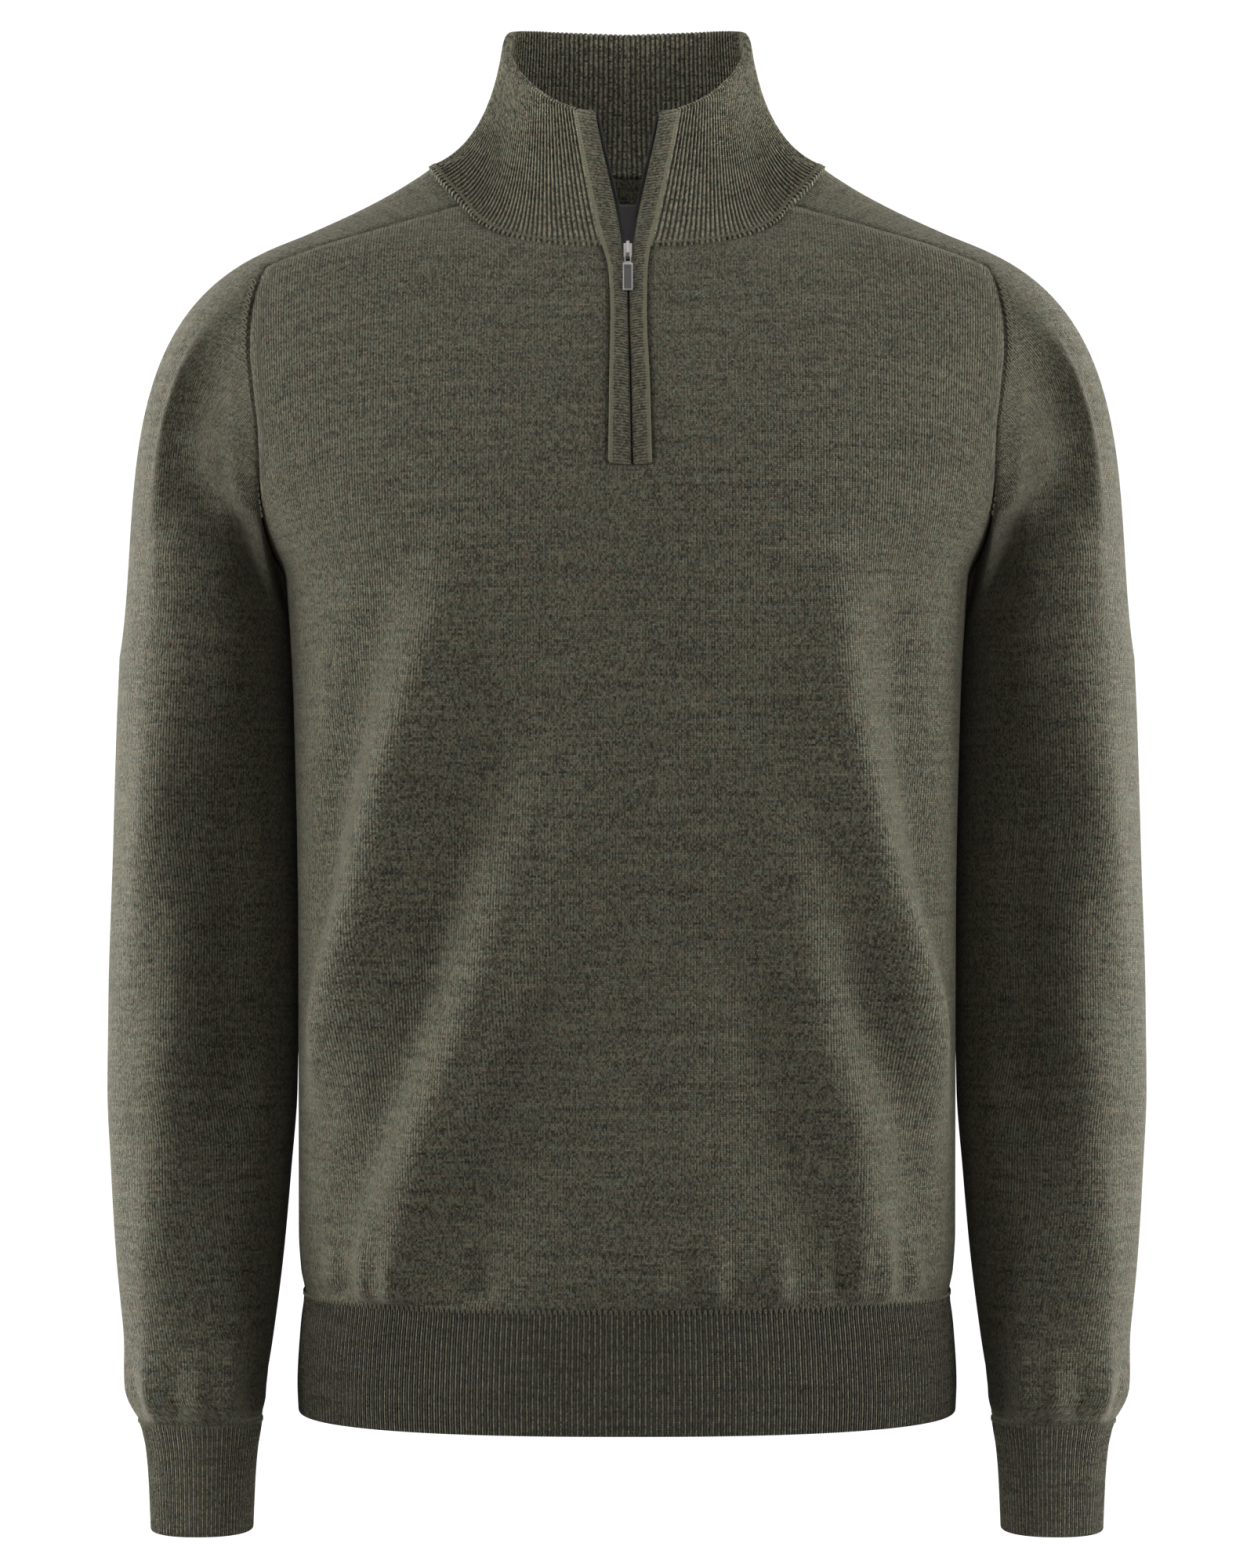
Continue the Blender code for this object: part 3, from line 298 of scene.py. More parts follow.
# x and height at the top, x and height at the foot, half width, rise
FRONT_FOLDS = (
    (-0.1170, -0.2600, -0.1540, -0.4500, 0.0260, 0.0045),
    (-0.0520, -0.3500, -0.1180, -0.5300, 0.0340, 0.0050),
    (-0.0560, -0.4400, -0.0820, -0.5750, 0.0260, -0.0050),
    (0.1160, -0.2700, 0.1560, -0.4700, 0.0260, 0.0045),
    (0.0930, -0.3500, 0.1450, -0.5500, 0.0300, 0.0045),
    (0.0760, -0.4200, 0.0950, -0.5500, 0.0240, -0.0045),
)
BACK_FOLDS = (
    (-0.1100, -0.3000, -0.0800, -0.5200, 0.0300, 0.0045),
    (0.0900, -0.2800, 0.1250, -0.4800, 0.0300, 0.0045),
    (0.0150, -0.4200, 0.0300, -0.5600, 0.0280, -0.0040),
)
# sharper creases: the crest by its height, x and rise, and its half widths to the left and to the right
FRONT_CREASES = (
    (Curve(((-0.2000, -0.0860, 0.0), (-0.2610, -0.0980, 0.0044), (-0.3280, -0.1145, 0.0078),
            (-0.3870, -0.1275, 0.0078), (-0.4460, -0.1450, 0.0062), (-0.5000, -0.1590, 0.0))), 0.015, 0.017),
    (Curve(((-0.2700, -0.0260, 0.0), (-0.3280, -0.0380, 0.0022), (-0.3870, -0.0550, 0.0036),
            (-0.4460, -0.0720, 0.0054), (-0.5045, -0.0950, 0.0054), (-0.5710, -0.1170, 0.0030))), 0.017, 0.015),
    (Curve(((-0.2000, 0.1060, 0.0), (-0.2690, 0.1050, 0.0046), (-0.3480, 0.1160, 0.0078),
            (-0.3870, 0.1260, 0.0078), (-0.4260, 0.1380, 0.0070), (-0.4850, 0.1540, 0.0028),
            (-0.5300, 0.1620, 0.0))), 0.017, 0.014),
    (Curve(((-0.3100, 0.0700, 0.0), (-0.3870, 0.0830, 0.0030), (-0.4260, 0.0870, 0.0046),
            (-0.4650, 0.0960, 0.0050), (-0.5050, 0.1080, 0.0054), (-0.5435, 0.1130, 0.0052),
            (-0.5920, 0.1150, 0.0020))), 0.014, 0.016),
)
BACK_CREASES = (
    (Curve(((-0.2300, 0.0900, 0.0), (-0.3300, 0.1080, 0.0040), (-0.4300, 0.1250, 0.0040),
            (-0.5200, 0.1350, 0.0))), 0.016, 0.034),
    (Curve(((-0.2500, -0.0940, 0.0), (-0.3400, -0.1120, 0.0040), (-0.4500, -0.1240, 0.0035),
            (-0.5300, -0.1300, 0.0))), 0.034, 0.016),
    (Curve(((-0.4000, -0.0300, 0.0), (-0.4800, -0.0380, 0.0030), (-0.5600, -0.0470, 0.0020),
            (-0.5920, -0.0500, 0.0))), 0.030, 0.014),
)
# x, half width, length up from the hem seam, rise
FRONT_GATHERS = (
    (-0.1510, 0.0056, 0.0450, 0.0020),
    (-0.1316, 0.0056, 0.0550, 0.0020),
    (-0.1159, 0.0053, 0.0450, 0.0018),
    (-0.0736, 0.0074, 0.0500, -0.0018),
    (0.0235, 0.0056, 0.0400, 0.0014),
    (0.0442, 0.0056, 0.0600, 0.0020),
    (0.0767, 0.0056, 0.0500, 0.0018),
    (0.1069, 0.0050, 0.0650, -0.0022),
    (0.1296, 0.0056, 0.0550, 0.0020),
    (0.1468, 0.0050, 0.0450, 0.0018),
)
BACK_GATHERS = (
    (-0.1400, 0.0062, 0.0500, 0.0020),
    (-0.0950, 0.0062, 0.0450, 0.0018),
    (-0.0450, 0.0068, 0.0550, 0.0018),
    (0.0150, 0.0062, 0.0400, 0.0016),
    (0.0620, 0.0068, 0.0550, 0.0020),
    (0.1150, 0.0062, 0.0500, 0.0020),
)


def depth_of(sizes, behind):
    return np.where(behind, sizes[..., 2], sizes[..., 1])


def trunk_point(share, height, face):
    """Points of the body's front (face -1) or back (1), by their signed share of its half width."""
    sizes = trunk(height)
    away = np.maximum(1 - np.abs(share) ** SQUARE, 0.0) ** (1 / SQUARE)
    return points_of(sizes[..., 0] * share, face * depth_of(sizes, face > 0) * away, height)


def trunk_level(points):
    """1 on the body's surface, less inside it and more outside."""
    sizes = trunk(points[..., 2])
    depth = depth_of(sizes, points[..., 1] >= 0)
    return (np.abs(points[..., 0]) / sizes[..., 0]) ** SQUARE + (np.abs(points[..., 1]) / depth) ** SQUARE


def trunk_normal(points):
    """The direction straight out of the body at points of its surface."""
    here = trunk_level(points)
    slopes = [trunk_level(points + np.eye(3)[axis] * 1e-4) - here for axis in range(3)]
    return unit(np.stack(slopes, axis=-1))


def shoulder_point(x, y):
    """Points on top of the shoulders above x, y."""
    low, high = (np.full(np.shape(x), end) for end in SHOULDER_SEARCH)
    for _ in range(40):
        middle = (low + high) / 2
        inside = trunk_level(points_of(x, y, middle)) < 1
        low, high = np.where(inside, middle, low), np.where(inside, high, middle)
    return points_of(x, y, low)


def fold_rise(points, face):
    """How far the cloth stands out of its plain form, from its folds and its gathers over the hem."""
    x, z = points[..., 0], points[..., 2]
    total = np.zeros_like(x)
    for top_x, top_z, foot_x, foot_z, half, rise in FRONT_FOLDS if face < 0 else BACK_FOLDS:
        along = (top_z - z) / (top_z - foot_z)
        across = x - (top_x + (foot_x - top_x) * along)
        ends = ease(along, *FOLD_STARTS) * (1 - ease(along, *FOLD_ENDS))
        total += FOLD_GAIN * rise * ends * bell(across, half)
    for crest, left_half, right_half in FRONT_CREASES if face < 0 else BACK_CREASES:
        crest_x, rise = np.moveaxis(crest(z), -1, 0)
        away = x - crest_x
        total += CREASE_GAIN * rise * bell(away, np.where(away < 0, left_half, right_half))
        total -= TROUGH_GAIN * rise * bell(away * np.sign(crest_x) - TROUGH_AWAY, TROUGH_HALF)
    above = z - HEM_SEAM_Z
    for at_x, half, length, rise in FRONT_GATHERS if face < 0 else BACK_GATHERS:
        ends = ease(above, 0, GATHER_PEAK) * (1 - ease(above, GATHER_PEAK, length))
        total += GATHER_GAIN * rise * ends * bell(x - at_x, half)
    return total * (1 - ease(np.abs(x), *SIDE_FADE)) * ease(above, 0.0, GATHER_START)


def on_panel(share, height, face):
    """Points of a panel with the folds in it."""
    points = trunk_point(share, height, face)
    return points + trunk_normal(points) * fold_rise(points, face)[..., None]


def slot_edge(side, height):
    """How far the placket's slot reaches from the middle plane on this side."""
    return slot(height)[..., 2] if side > 0 else -slot(height)[..., 0]


def neck_run(side):
    """The front neckline from the placket's slot out to the shoulder seam."""
    reach, away = front_shoulder(0.0)
    end = shoulder_point(reach, -away)
    turn = np.linspace(0, math.pi / 2, NECK_CELLS + 1)
    start = slot_edge(side, NECK_FRONT_Z)
    x = start + (end[0] - start) * np.sin(turn) ** NECK_BEND_X
    return points_of(x, end[2] + (NECK_FRONT_Z - end[2]) * np.abs(np.cos(turn)) ** NECK_BEND_Z)


def back_neck_run():
    """The back neckline from the middle out to the shoulder seam."""
    corner = shoulder_run(back_shoulder, 1)[0]
    share = np.linspace(0, 1, BACK_NECK_CELLS + 1)
    return points_of(corner[0] * share, NECK_BACK_Z + (corner[1] - NECK_BACK_Z) * share**2)


def shoulder_run(curve, face):
    """A saddle's seam from the neck out to the corner over the armhole."""
    x, away = curve(np.linspace(0, 1, SHOULDER_CELLS + 1)).T
    return points_of(x, shoulder_point(x, face * away)[..., 2])


def armhole_run(curve, corner):
    """An armhole's seam from the shoulder corner down to the underarm."""
    share = np.linspace(0, 1, ARMHOLE_CELLS + 1)
    run = curve(share)
    return run + (corner - run[0]) * (1 - ease(share, 0.0, 0.125))[:, None]


def patch(bottom, top, inner, outer):
    """A grid between four runs that share their corners, rows from bottom to top."""
    u = np.linspace(0, 1, len(bottom))[None, :, None]
    v = np.linspace(0, 1, len(inner))[:, None, None]
    ruled = (1 - v) * bottom[None] + v * top[None] + (1 - u) * inner[:, None] + u * outer[:, None]
    ends = (1 - u) * (1 - v) * bottom[0] + u * (1 - v) * bottom[-1] + (1 - u) * v * top[0] + u * v * top[-1]
    return ruled - ends


def half_panel(top, inner, outer):
    """Shares of the half width and heights of half a panel, rows from the hem up."""
    start = math.asin((inner[0][0] / trunk(UNDERARM_Z)[0]) ** (SQUARE / 2))
    turns = start + (math.pi / 2 - start) * np.linspace(0, 1, len(top))
    shares = np.sin(turns) ** (2 / SQUARE)
    upper = patch(points_of(shares * trunk(UNDERARM_Z)[0], UNDERARM_Z), top, inner, outer)
    rise = (np.arange(TRUNK_CELLS) / TRUNK_CELLS) ** TRUNK_SPREAD
    lower_z = HEM_SEAM_Z + (UNDERARM_Z - HEM_SEAM_Z) * rise
    heights = np.vstack([np.repeat(lower_z[:, None], len(top), axis=1), upper[..., 1]])
    across = np.minimum(upper[..., 0] / trunk(upper[..., 1])[..., 0], 1.0)
    return np.vstack([np.tile(shares, (TRUNK_CELLS, 1)), across]), heights


def arc_across(share, height, face):
    """The length round the body from the middle to points of it, so that wales keep their pitch."""
    sizes = trunk(height)
    depth = depth_of(sizes, face > 0)
    turns = np.arcsin(np.clip(np.abs(share), 0, 1) ** (SQUARE / 2))[..., None] * np.linspace(0, 1, 25)
    x = sizes[..., 0, None] * np.sin(turns) ** (2 / SQUARE)
    y = depth[..., None] * np.cos(turns) ** (2 / SQUARE)
    return np.sign(share) * np.hypot(np.diff(x, axis=-1), np.diff(y, axis=-1)).sum(-1)


def run_length(points, axis):
    """Lengths along the rows or columns of a grid of points, from its first."""
    steps = np.linalg.norm(np.diff(points, axis=axis), axis=-1)
    start = np.zeros_like(steps[:1] if axis == 0 else steps[:, :1])
    return np.concatenate([start, np.cumsum(steps, axis=axis)], axis=axis)


def panel_grid(share, height, face):
    """A panel's points, and where each lies on its knit: across its wales and up its courses."""
    plain = trunk_point(share, height, face)
    up = run_length(plain * (0, 1, 1), 0)
    return on_panel(share, height, face), points_of(arc_across(share, height, face) * -face, up)


def knitted(name, verts, faces, uv):
    """A smooth piece whose "knit" coordinates are given for each corner of its faces."""
    mesh = bpy.data.meshes.new(name)
    mesh.from_pydata(verts.tolist(), [], faces)
    mesh.uv_layers.new(name="knit").data.foreach_set("uv", uv.astype(np.float32).ravel())
    mesh.shade_smooth()
    return placed(name, mesh)


def knit_shell(name, grids, wall, dip=SEAM_DIP):
    """A closed wall of cloth from grids of outer points and their knit coordinates, welded where they meet."""
    points = np.concatenate([grid[0].reshape(-1, 3) for grid in grids])
    knit = np.concatenate([grid[1].reshape(-1, 2) for grid in grids])
    quads, base = [], 0
    for grid in grids:
        rows, columns = grid[0].shape[:2]
        at = base + np.arange(rows * columns).reshape(rows, columns)
        quads.append(np.stack([at[:-1, :-1], at[:-1, 1:], at[1:, 1:], at[1:, :-1]], axis=-1).reshape(-1, 4))
        base += rows * columns
    quads = np.concatenate(quads)
    rounded = np.round(points / WELD).astype(np.int64)
    _, first, weld = np.unique(rounded, axis=0, return_index=True, return_inverse=True)
    weld = weld.reshape(-1)
    outer, cells = points[first], weld[quads]
    cross = np.cross(outer[cells[:, 2]] - outer[cells[:, 0]], outer[cells[:, 3]] - outer[cells[:, 1]])
    normals = np.zeros_like(outer)
    for corner in range(4):
        np.add.at(normals, cells[:, corner], cross)
    normals = unit(normals)
    count = len(outer)
    directed = set(map(tuple, np.concatenate([cells[:, [i, (i + 1) % 4]] for i in range(4)]).tolist()))
    rim = [(a, b) for a, b in directed if (b, a) not in directed]
    seam = KDTree(len(rim))
    for a, _ in rim:
        seam.insert(outer[a], a)
    seam.balance()
    away = np.array([seam.find(point)[2] for point in outer])
    outer = outer - normals * (dip * bell(away, SEAM_DIP_HALF))[:, None]
    verts = np.concatenate([outer, outer - normals * wall])
    knit_at = np.zeros((count, 2))
    knit_at[weld] = knit
    faces = cells.tolist() + (cells[:, ::-1] + count).tolist() + [(b, a, a + count, b + count) for a, b in rim]
    uv = np.concatenate([knit[quads].reshape(-1, 2), knit[quads[:, ::-1]].reshape(-1, 2)])
    if rim:
        uv = np.concatenate([uv, knit_at[[[b, a, a, b] for a, b in rim]].reshape(-1, 2)])
    return knitted(name, verts, faces, uv)


class Wire:
    """A shader socket that adds its maths nodes when it is used in an expression."""

    def __init__(self, shader, socket):
        self.shader, self.socket = shader, socket

    def math(self, operation, *others):
        values = dict(enumerate((self, *others)))
        return self.shader.node("ShaderNodeMath", {"operation": operation}, values)

    def __add__(self, other):
        return self.math("ADD", other)

    def __sub__(self, other):
        return self.math("SUBTRACT", other)

    def __rsub__(self, other):
        return self.shader.node("ShaderNodeMath", {"operation": "SUBTRACT"}, {0: other, 1: self})

    def __mul__(self, other):
        return self.math("MULTIPLY", other)

    def __truediv__(self, other):
        return self.math("DIVIDE", other)

    def __pow__(self, other):
        return self.math("POWER", other)

    __radd__, __rmul__ = __add__, __mul__


class Finish:
    """A material under construction: node() adds any node, and wires or plain values go into its sockets."""

    def __init__(self, name, roughness, metallic=0.0, sheen=0.0):
        self.material = bpy.data.materials.new(name)
        self.material.use_nodes = True
        self.tree = self.material.node_tree
        self.surface = self.tree.nodes["Principled BSDF"]
        self.surface.inputs["Roughness"].default_value = roughness
        self.surface.inputs["Metallic"].default_value = metallic
        self.surface.inputs["Sheen Weight"].default_value = sheen
        self.surface.inputs["Sheen Roughness"].default_value = 0.5

    def node(self, kind, settings=None, sockets=None, output=0):
        made = self.tree.nodes.new(kind)
        for key, value in (settings or {}).items():
            if key == "stops":
                while len(made.color_ramp.elements) < len(value):
                    made.color_ramp.elements.new(0.5)
                for element, (place, colour) in zip(made.color_ramp.elements, value):
                    element.position, element.color = place, (*colour, 1.0)
            else:
                setattr(made, key, value)
        for key, value in (sockets or {}).items():
            self.feed(made.inputs[key], value)
        return Wire(self, made.outputs[output])

    def feed(self, socket, value):
        if isinstance(value, Wire):
            self.tree.links.new(value.socket, socket)
        elif isinstance(value, tuple) and socket.type == "RGBA":
            socket.default_value = (*value, 1.0)
        else:
            socket.default_value = value

    def mix(self, factor, first, second, blend="MIX"):
        sockets = {0: factor, 6: first, 7: second}
        return self.node("ShaderNodeMix", {"data_type": "RGBA", "blend_type": blend}, sockets, output=2)

    def place(self):
        """The Object coordinates."""
        return self.node("ShaderNodeTexCoord", output=3)

    def knit_uv(self):
        uv = self.node("ShaderNodeUVMap", {"uv_map": "knit"})
        parts = self.node("ShaderNodeSeparateXYZ", None, {0: uv})
        return parts, Wire(self, parts.socket.node.outputs[1])

    def noise(self, x, y, z=0.0, detail=1.0):
        place = self.node("ShaderNodeCombineXYZ", None, {0: x, 1: y, 2: z})
        return self.node("ShaderNodeTexNoise", None, {"Vector": place, "Scale": 1.0, "Detail": detail})

    def bump(self, height, distance):
        sockets = {"Height": height, "Distance": distance, "Strength": 1.0}
        self.feed(self.surface.inputs["Normal"], self.node("ShaderNodeBump", None, sockets))


# Fibre colours of the melange: umber, olive, moss and slate green.
FIBRES = (
    (0.34, (0.114, 0.094, 0.065)),
    (0.45, (0.109, 0.099, 0.065)),
    (0.54, (0.101, 0.101, 0.067)),
    (0.66, (0.092, 0.102, 0.073)),
)
HUE_SPREAD = 1.15
# how much darker or lighter long streaks, single fibres, clouds and single stitches make the yarn
STREAKS, HAIRS, CLOUDS, STITCHES = 1.0, 1.9, 0.9, 1.35
STITCH_SLANT = 0.55


def knit_finish(name, wale, course, gain, groove_shade, gap_shade, height, sunk_wale_shade=0.0, groove_width=1.0):
    """Melange yarn in V-shaped stitches. A wale is a column of them; every second one, which lies deeper in a
    real rib, may be painted darker as painted shade.

    Painted shade also darkens the grooves between the wales and the gaps between the courses. The noises are
    scaled by their features to a metre, and each course's yarn reads its own slice of them.
    """
    finish = Finish(name, 0.9, sheen=0.3)
    finish.surface.inputs["Sheen Tint"].default_value = (0.60, 0.56, 0.46, 1.0)
    finish.surface.inputs["Specular IOR Level"].default_value = 0.3
    u, v = finish.knit_uv()
    across = u / wale
    from_ridge = (across.math("FRACT") - 0.5).math("ABSOLUTE") * 2
    along = v / course + from_ridge * STITCH_SLANT
    row = along.math("FLOOR")
    gap = ((along.math("FRACT") - 0.5).math("ABSOLUTE") * 2) ** 3
    streak = finish.noise(u * 42, row * 5.17, 0.0, 3.0)
    fibre = finish.noise(u * 2300, row * 9.7, v * 900, 1.0)
    leg = finish.node("ShaderNodeCombineXYZ", None, {0: (across * 2).math("FLOOR"), 1: row, 2: 0.0})
    leg = finish.node("ShaderNodeTexWhiteNoise", None, {"Vector": leg})
    hue = finish.noise(u * 110, row * 3.71, 9.0, 4.0)
    cloud = finish.noise(u * 16, v * 260, 4.0, 3.0)
    yarn = finish.node("ShaderNodeValToRGB", {"stops": FIBRES}, {0: (hue - 0.5) * HUE_SPREAD + 0.5})
    # painted shade: every second wale is painted darker, as if it lay deeper
    sunk_wale_shade_mask = (across * 0.5).math("FRACT").math("GREATER_THAN", 0.5) * sunk_wale_shade
    light = (streak - 0.5) * STREAKS + (fibre - 0.5) * HAIRS + (cloud - 0.5) * CLOUDS + (leg - 0.5) * STITCHES + 1.0
    # painted shade in the grooves between the wales and in the gaps between the courses
    groove = from_ridge ** (3 / groove_width)
    shade = light.math("MAXIMUM", 0.15) * (1 - groove * groove_shade) * (1 - gap * gap_shade) * (1 - sunk_wale_shade_mask) * gain
    grey = finish.node("ShaderNodeCombineColor", None, {0: shade, 1: shade, 2: shade})
    finish.feed(finish.surface.inputs["Base Color"], finish.mix(1.0, yarn, grey, "MULTIPLY"))
    finish.bump((1 - from_ridge**2) + (1 - gap) * 0.5 + fibre * 0.4, height)
    return finish.material


jersey = knit_finish(
    "olive_jersey", JERSEY_WALE, JERSEY_COURSE, gain=1.05, groove_shade=0.26, gap_shade=0.66, height=0.00035
)


def dress(piece, node, finish, body="garment"):
    """Gives a piece its finish and its place: the CAD node it stands for and the body it moves with."""
    if not piece.data.materials:
        piece.data.materials.append(finish)
    if node:
        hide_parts(node)
    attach(piece, body)


def front_half(side):
    shoulder = shoulder_run(front_shoulder, -1)
    yoke = np.linspace(UNDERARM_Z, SLOT_FOOT_Z, YOKE_CELLS + 1)
    inner_z = np.concatenate([yoke, np.linspace(SLOT_FOOT_Z, NECK_FRONT_Z, SLOT_CELLS + 1)[1:]])
    inner = points_of(slot_edge(side, inner_z), inner_z)
    outer = armhole_run(front_armhole, shoulder[-1])[::-1]
    return half_panel(np.vstack([neck_run(side), shoulder[1:]]), inner, outer)


def back_half():
    shoulder = shoulder_run(back_shoulder, 1)
    inner = points_of(0.0, np.linspace(UNDERARM_Z, NECK_BACK_Z, ARMHOLE_CELLS + 1))
    outer = armhole_run(back_armhole, shoulder[-1])[::-1]
    return half_panel(np.vstack([back_neck_run()[:-1], shoulder]), inner, outer)


right_share, right_z = front_half(-1)
left_share, left_z = front_half(1)
foot_rows = TRUNK_CELLS + YOKE_CELLS + 1
bridge = np.linspace(0, 1, BRIDGE_COLUMNS)
bridge_share = -right_share[:foot_rows, :1] * (1 - bridge) + left_share[:foot_rows, :1] * bridge
front_panel = knit_shell(
    "front_jersey",
    [
        panel_grid(-right_share[:, ::-1], right_z[:, ::-1], -1),
        panel_grid(bridge_share, np.repeat(left_z[:foot_rows, :1], BRIDGE_COLUMNS, axis=1), -1),
        panel_grid(left_share, left_z, -1),
    ],
    JERSEY,
)
back_share, back_z = back_half()
back_panel = knit_shell(
    "back_jersey",
    [panel_grid(back_share[:, ::-1], back_z[:, ::-1], 1), panel_grid(-back_share, back_z, 1)],
    JERSEY,
)
for piece, node, length, area in ((front_panel, "front_panel", 0.62, 0.27), (back_panel, "back_panel", 0.63, 0.28)):
    dress(piece, node, jersey)


# ---- sleeves -------------------------------------------------------------------------
# Two saddle sleeves in the same jersey. Each is knitted to shape in one piece from the cuff up, closed along the
# underarm, and its last wales run on as a narrow strip over the shoulder to the neck. Filled out, each hangs
# straight down and breaks softly at the elbow.

ARM_TOP_Z = -0.2620
CUFF_SEAM_Z = -0.6560
STRIP_CELLS = 24
CAP_CELLS = 44
ARM_CELLS = 96
ARM_SQUARE = 2.15
ARM_FRONT_ANGLE = math.radians(48)
CAP_RISE, CAP_LEAN, CAP_REACH = 0.95, 0.16, 1.20
GROOVE_DIRECTION = unit(np.array((0.12, 0.0, 0.99)))
GROOVE_REACH, GROOVE_FROM, GROOVE_TO, CORNER_BLEND = 0.72, 0.55, 0.92, 0.40
STRIP_NECK_BOW, STRIP_CORNER_BOW = 0.0125, 0.0050
COLLAR_DROP, UNDER_COLLAR = 4.6, 0.010
ARM_SPREAD = 1.1
CREST_POINTS = 60
ROLL_CLEAR = 0.012

# height, middle x, middle y, half width, half depth
arm = Curve((
    (-0.2620, 0.2210, 0.0150, 0.0454, 0.0640),
    (-0.3000, 0.2213, 0.0170, 0.0470, 0.0620),
    (-0.3600, 0.2216, 0.0180, 0.0486, 0.0580),
    (-0.4400, 0.2226, 0.0160, 0.0500, 0.0525),
    (-0.4860, 0.2228, 0.0110, 0.0498, 0.0500),
    (-0.5300, 0.2228, 0.0020, 0.0470, 0.0475),
    (-0.5720, 0.2226, -0.0080, 0.0436, 0.0445),
    (-0.6150, 0.2224, -0.0180, 0.0385, 0.0415),
    (-0.6400, 0.2228, -0.0245, 0.0350, 0.0390),
    (-0.6500, 0.2214, -0.0262, 0.0328, 0.0372),
    (-0.6560, 0.2205, -0.0275, 0.0315, 0.0360),
    (-0.6620, 0.2200, -0.0285, 0.0303, 0.0349),
    (-0.6700, 0.2197, -0.0300, 0.0287, 0.0332),
    (-0.6850, 0.2195, -0.0320, 0.0273, 0.0316),
    (-0.7160, 0.2192, -0.0355, 0.0259, 0.0305),
))
# angle round the arm from outside towards the front, height, half angle, half height, rise
ARM_FOLDS = (
    (60.0, -0.3900, 30.0, 0.0300, -0.0012),
    (100.0, -0.4500, 34.0, 0.0260, 0.0025),
    (75.0, -0.5050, 34.0, 0.0260, -0.0030),
    (110.0, -0.5600, 30.0, 0.0240, 0.0020),
    (-60.0, -0.3400, 34.0, 0.0320, -0.0030),
    (-100.0, -0.4700, 40.0, 0.0300, -0.0030),
    (-70.0, -0.5500, 36.0, 0.0240, 0.0022),
    (62.0, -0.3450, 20.0, 0.0650, 0.0060),
    (110.0, -0.3600, 32.0, 0.0750, -0.0060),
    (78.0, -0.4450, 20.0, 0.0700, 0.0058),
    (118.0, -0.4500, 30.0, 0.0600, -0.0045),
    (68.0, -0.5500, 20.0, 0.0600, 0.0040),
    (112.0, -0.5400, 30.0, 0.0600, -0.0040),
    (-48.0, -0.3800, 24.0, 0.0600, 0.0035),
    (-45.0, -0.5300, 22.0, 0.0500, 0.0028),
)
# the same angle, half angle and rise of each pucker over the cuff
CUFF_GATHERS = (
    (8.0, 8.0, 0.0014),
    (30.0, 7.0, -0.0010),
    (52.0, 8.0, 0.0017),
    (76.0, 8.0, -0.0014),
    (96.0, 7.0, 0.0016),
    (121.0, 9.0, 0.0018),
    (148.0, 8.0, -0.0012),
    (170.0, 9.0, 0.0003),
    (204.0, 9.0, 0.0016),
    (232.0, 8.0, -0.0012),
    (258.0, 8.0, 0.0015),
    (292.0, 9.0, 0.0014),
    (326.0, 9.0, 0.0015),
)
CUFF_GATHER_GAIN = 1.8
CUFF_GATHER_STARTS, CUFF_GATHER_ENDS = (-0.004, 0.010), (0.008, 0.048)
# rolls of cloth at the underarm: crest (x, height) from outside in, half widths over and under it, rise
ARM_ROLLS = (
    (((0.2400, -0.1480), (0.2130, -0.1570), (0.2010, -0.1710), (0.1945, -0.1850), (0.1900, -0.2000)),
     0.0260, 0.0140, 0.0085),
    (((0.2450, -0.1980), (0.2280, -0.2060), (0.2130, -0.2200), (0.2020, -0.2400)),
     0.0170, 0.0150, 0.0050),
)


def along_line(at, length, line):
    """Points of a line at given lengths of it."""
    return np.stack([np.interp(at, length, part) for part in line.T], axis=-1)


def crest_rise(points, crest, over, under, rise):
    """How far a roll stands up, by the distance of each point from its crest as seen from the front."""
    line = along_line(np.linspace(0, len(crest) - 1, CREST_POINTS), np.arange(len(crest)), np.array(crest))
    gap = points[..., None, (0, 2)] - line
    near = np.linalg.norm(gap, axis=-1).argmin(axis=-1)
    gap = np.take_along_axis(gap, near[..., None, None], axis=-2)[..., 0, :]
    ahead = np.gradient(line, axis=0)[near]
    below = ahead[..., 0] * gap[..., 1] - ahead[..., 1] * gap[..., 0] > 0
    ends = ease(near, 0, 0.3 * CREST_POINTS) * (1 - ease(near, 0.6 * CREST_POINTS, CREST_POINTS - 1))
    return rise * ends * bell(np.linalg.norm(gap, axis=-1), np.where(below, under, over))


def turn_from(angle, degrees):
    """How far an angle lies from one in degrees, the short way round."""
    return (np.degrees(angle) - degrees + 180) % 360 - 180


def squarish(part, square):
    """A cosine or sine bent so that its ring fills out towards a square."""
    return np.sign(part) * np.abs(part) ** (2 / square)


def arm_ring(angle, height):
    """Points round the arm, from angle 0 at its outer side to pi / 2 in front."""
    sizes = arm(height)
    out, ahead = np.cos(angle), np.sin(angle)
    swell = 0.0
    for fold_angle, fold_z, half_angle, half_height, rise in ARM_FOLDS:
        turn = turn_from(angle, fold_angle)
        slant = (height - fold_z) / half_height - turn / half_angle * 0.4
        swell = swell + rise * np.exp(-(slant**2) - (turn / half_angle) ** 2)
    above = height - CUFF_SEAM_Z
    ends = ease(above, *CUFF_GATHER_STARTS) * (1 - ease(above, *CUFF_GATHER_ENDS))
    for fold_angle, half_angle, rise in CUFF_GATHERS:
        swell = swell + CUFF_GATHER_GAIN * rise * ends * bell(turn_from(angle, fold_angle), half_angle)
    x = sizes[..., 0] + sizes[..., 2] * squarish(out, ARM_SQUARE) + swell * out
    y = sizes[..., 1] - sizes[..., 3] * squarish(ahead, ARM_SQUARE) - swell * ahead
    return points_of(x, y, height)


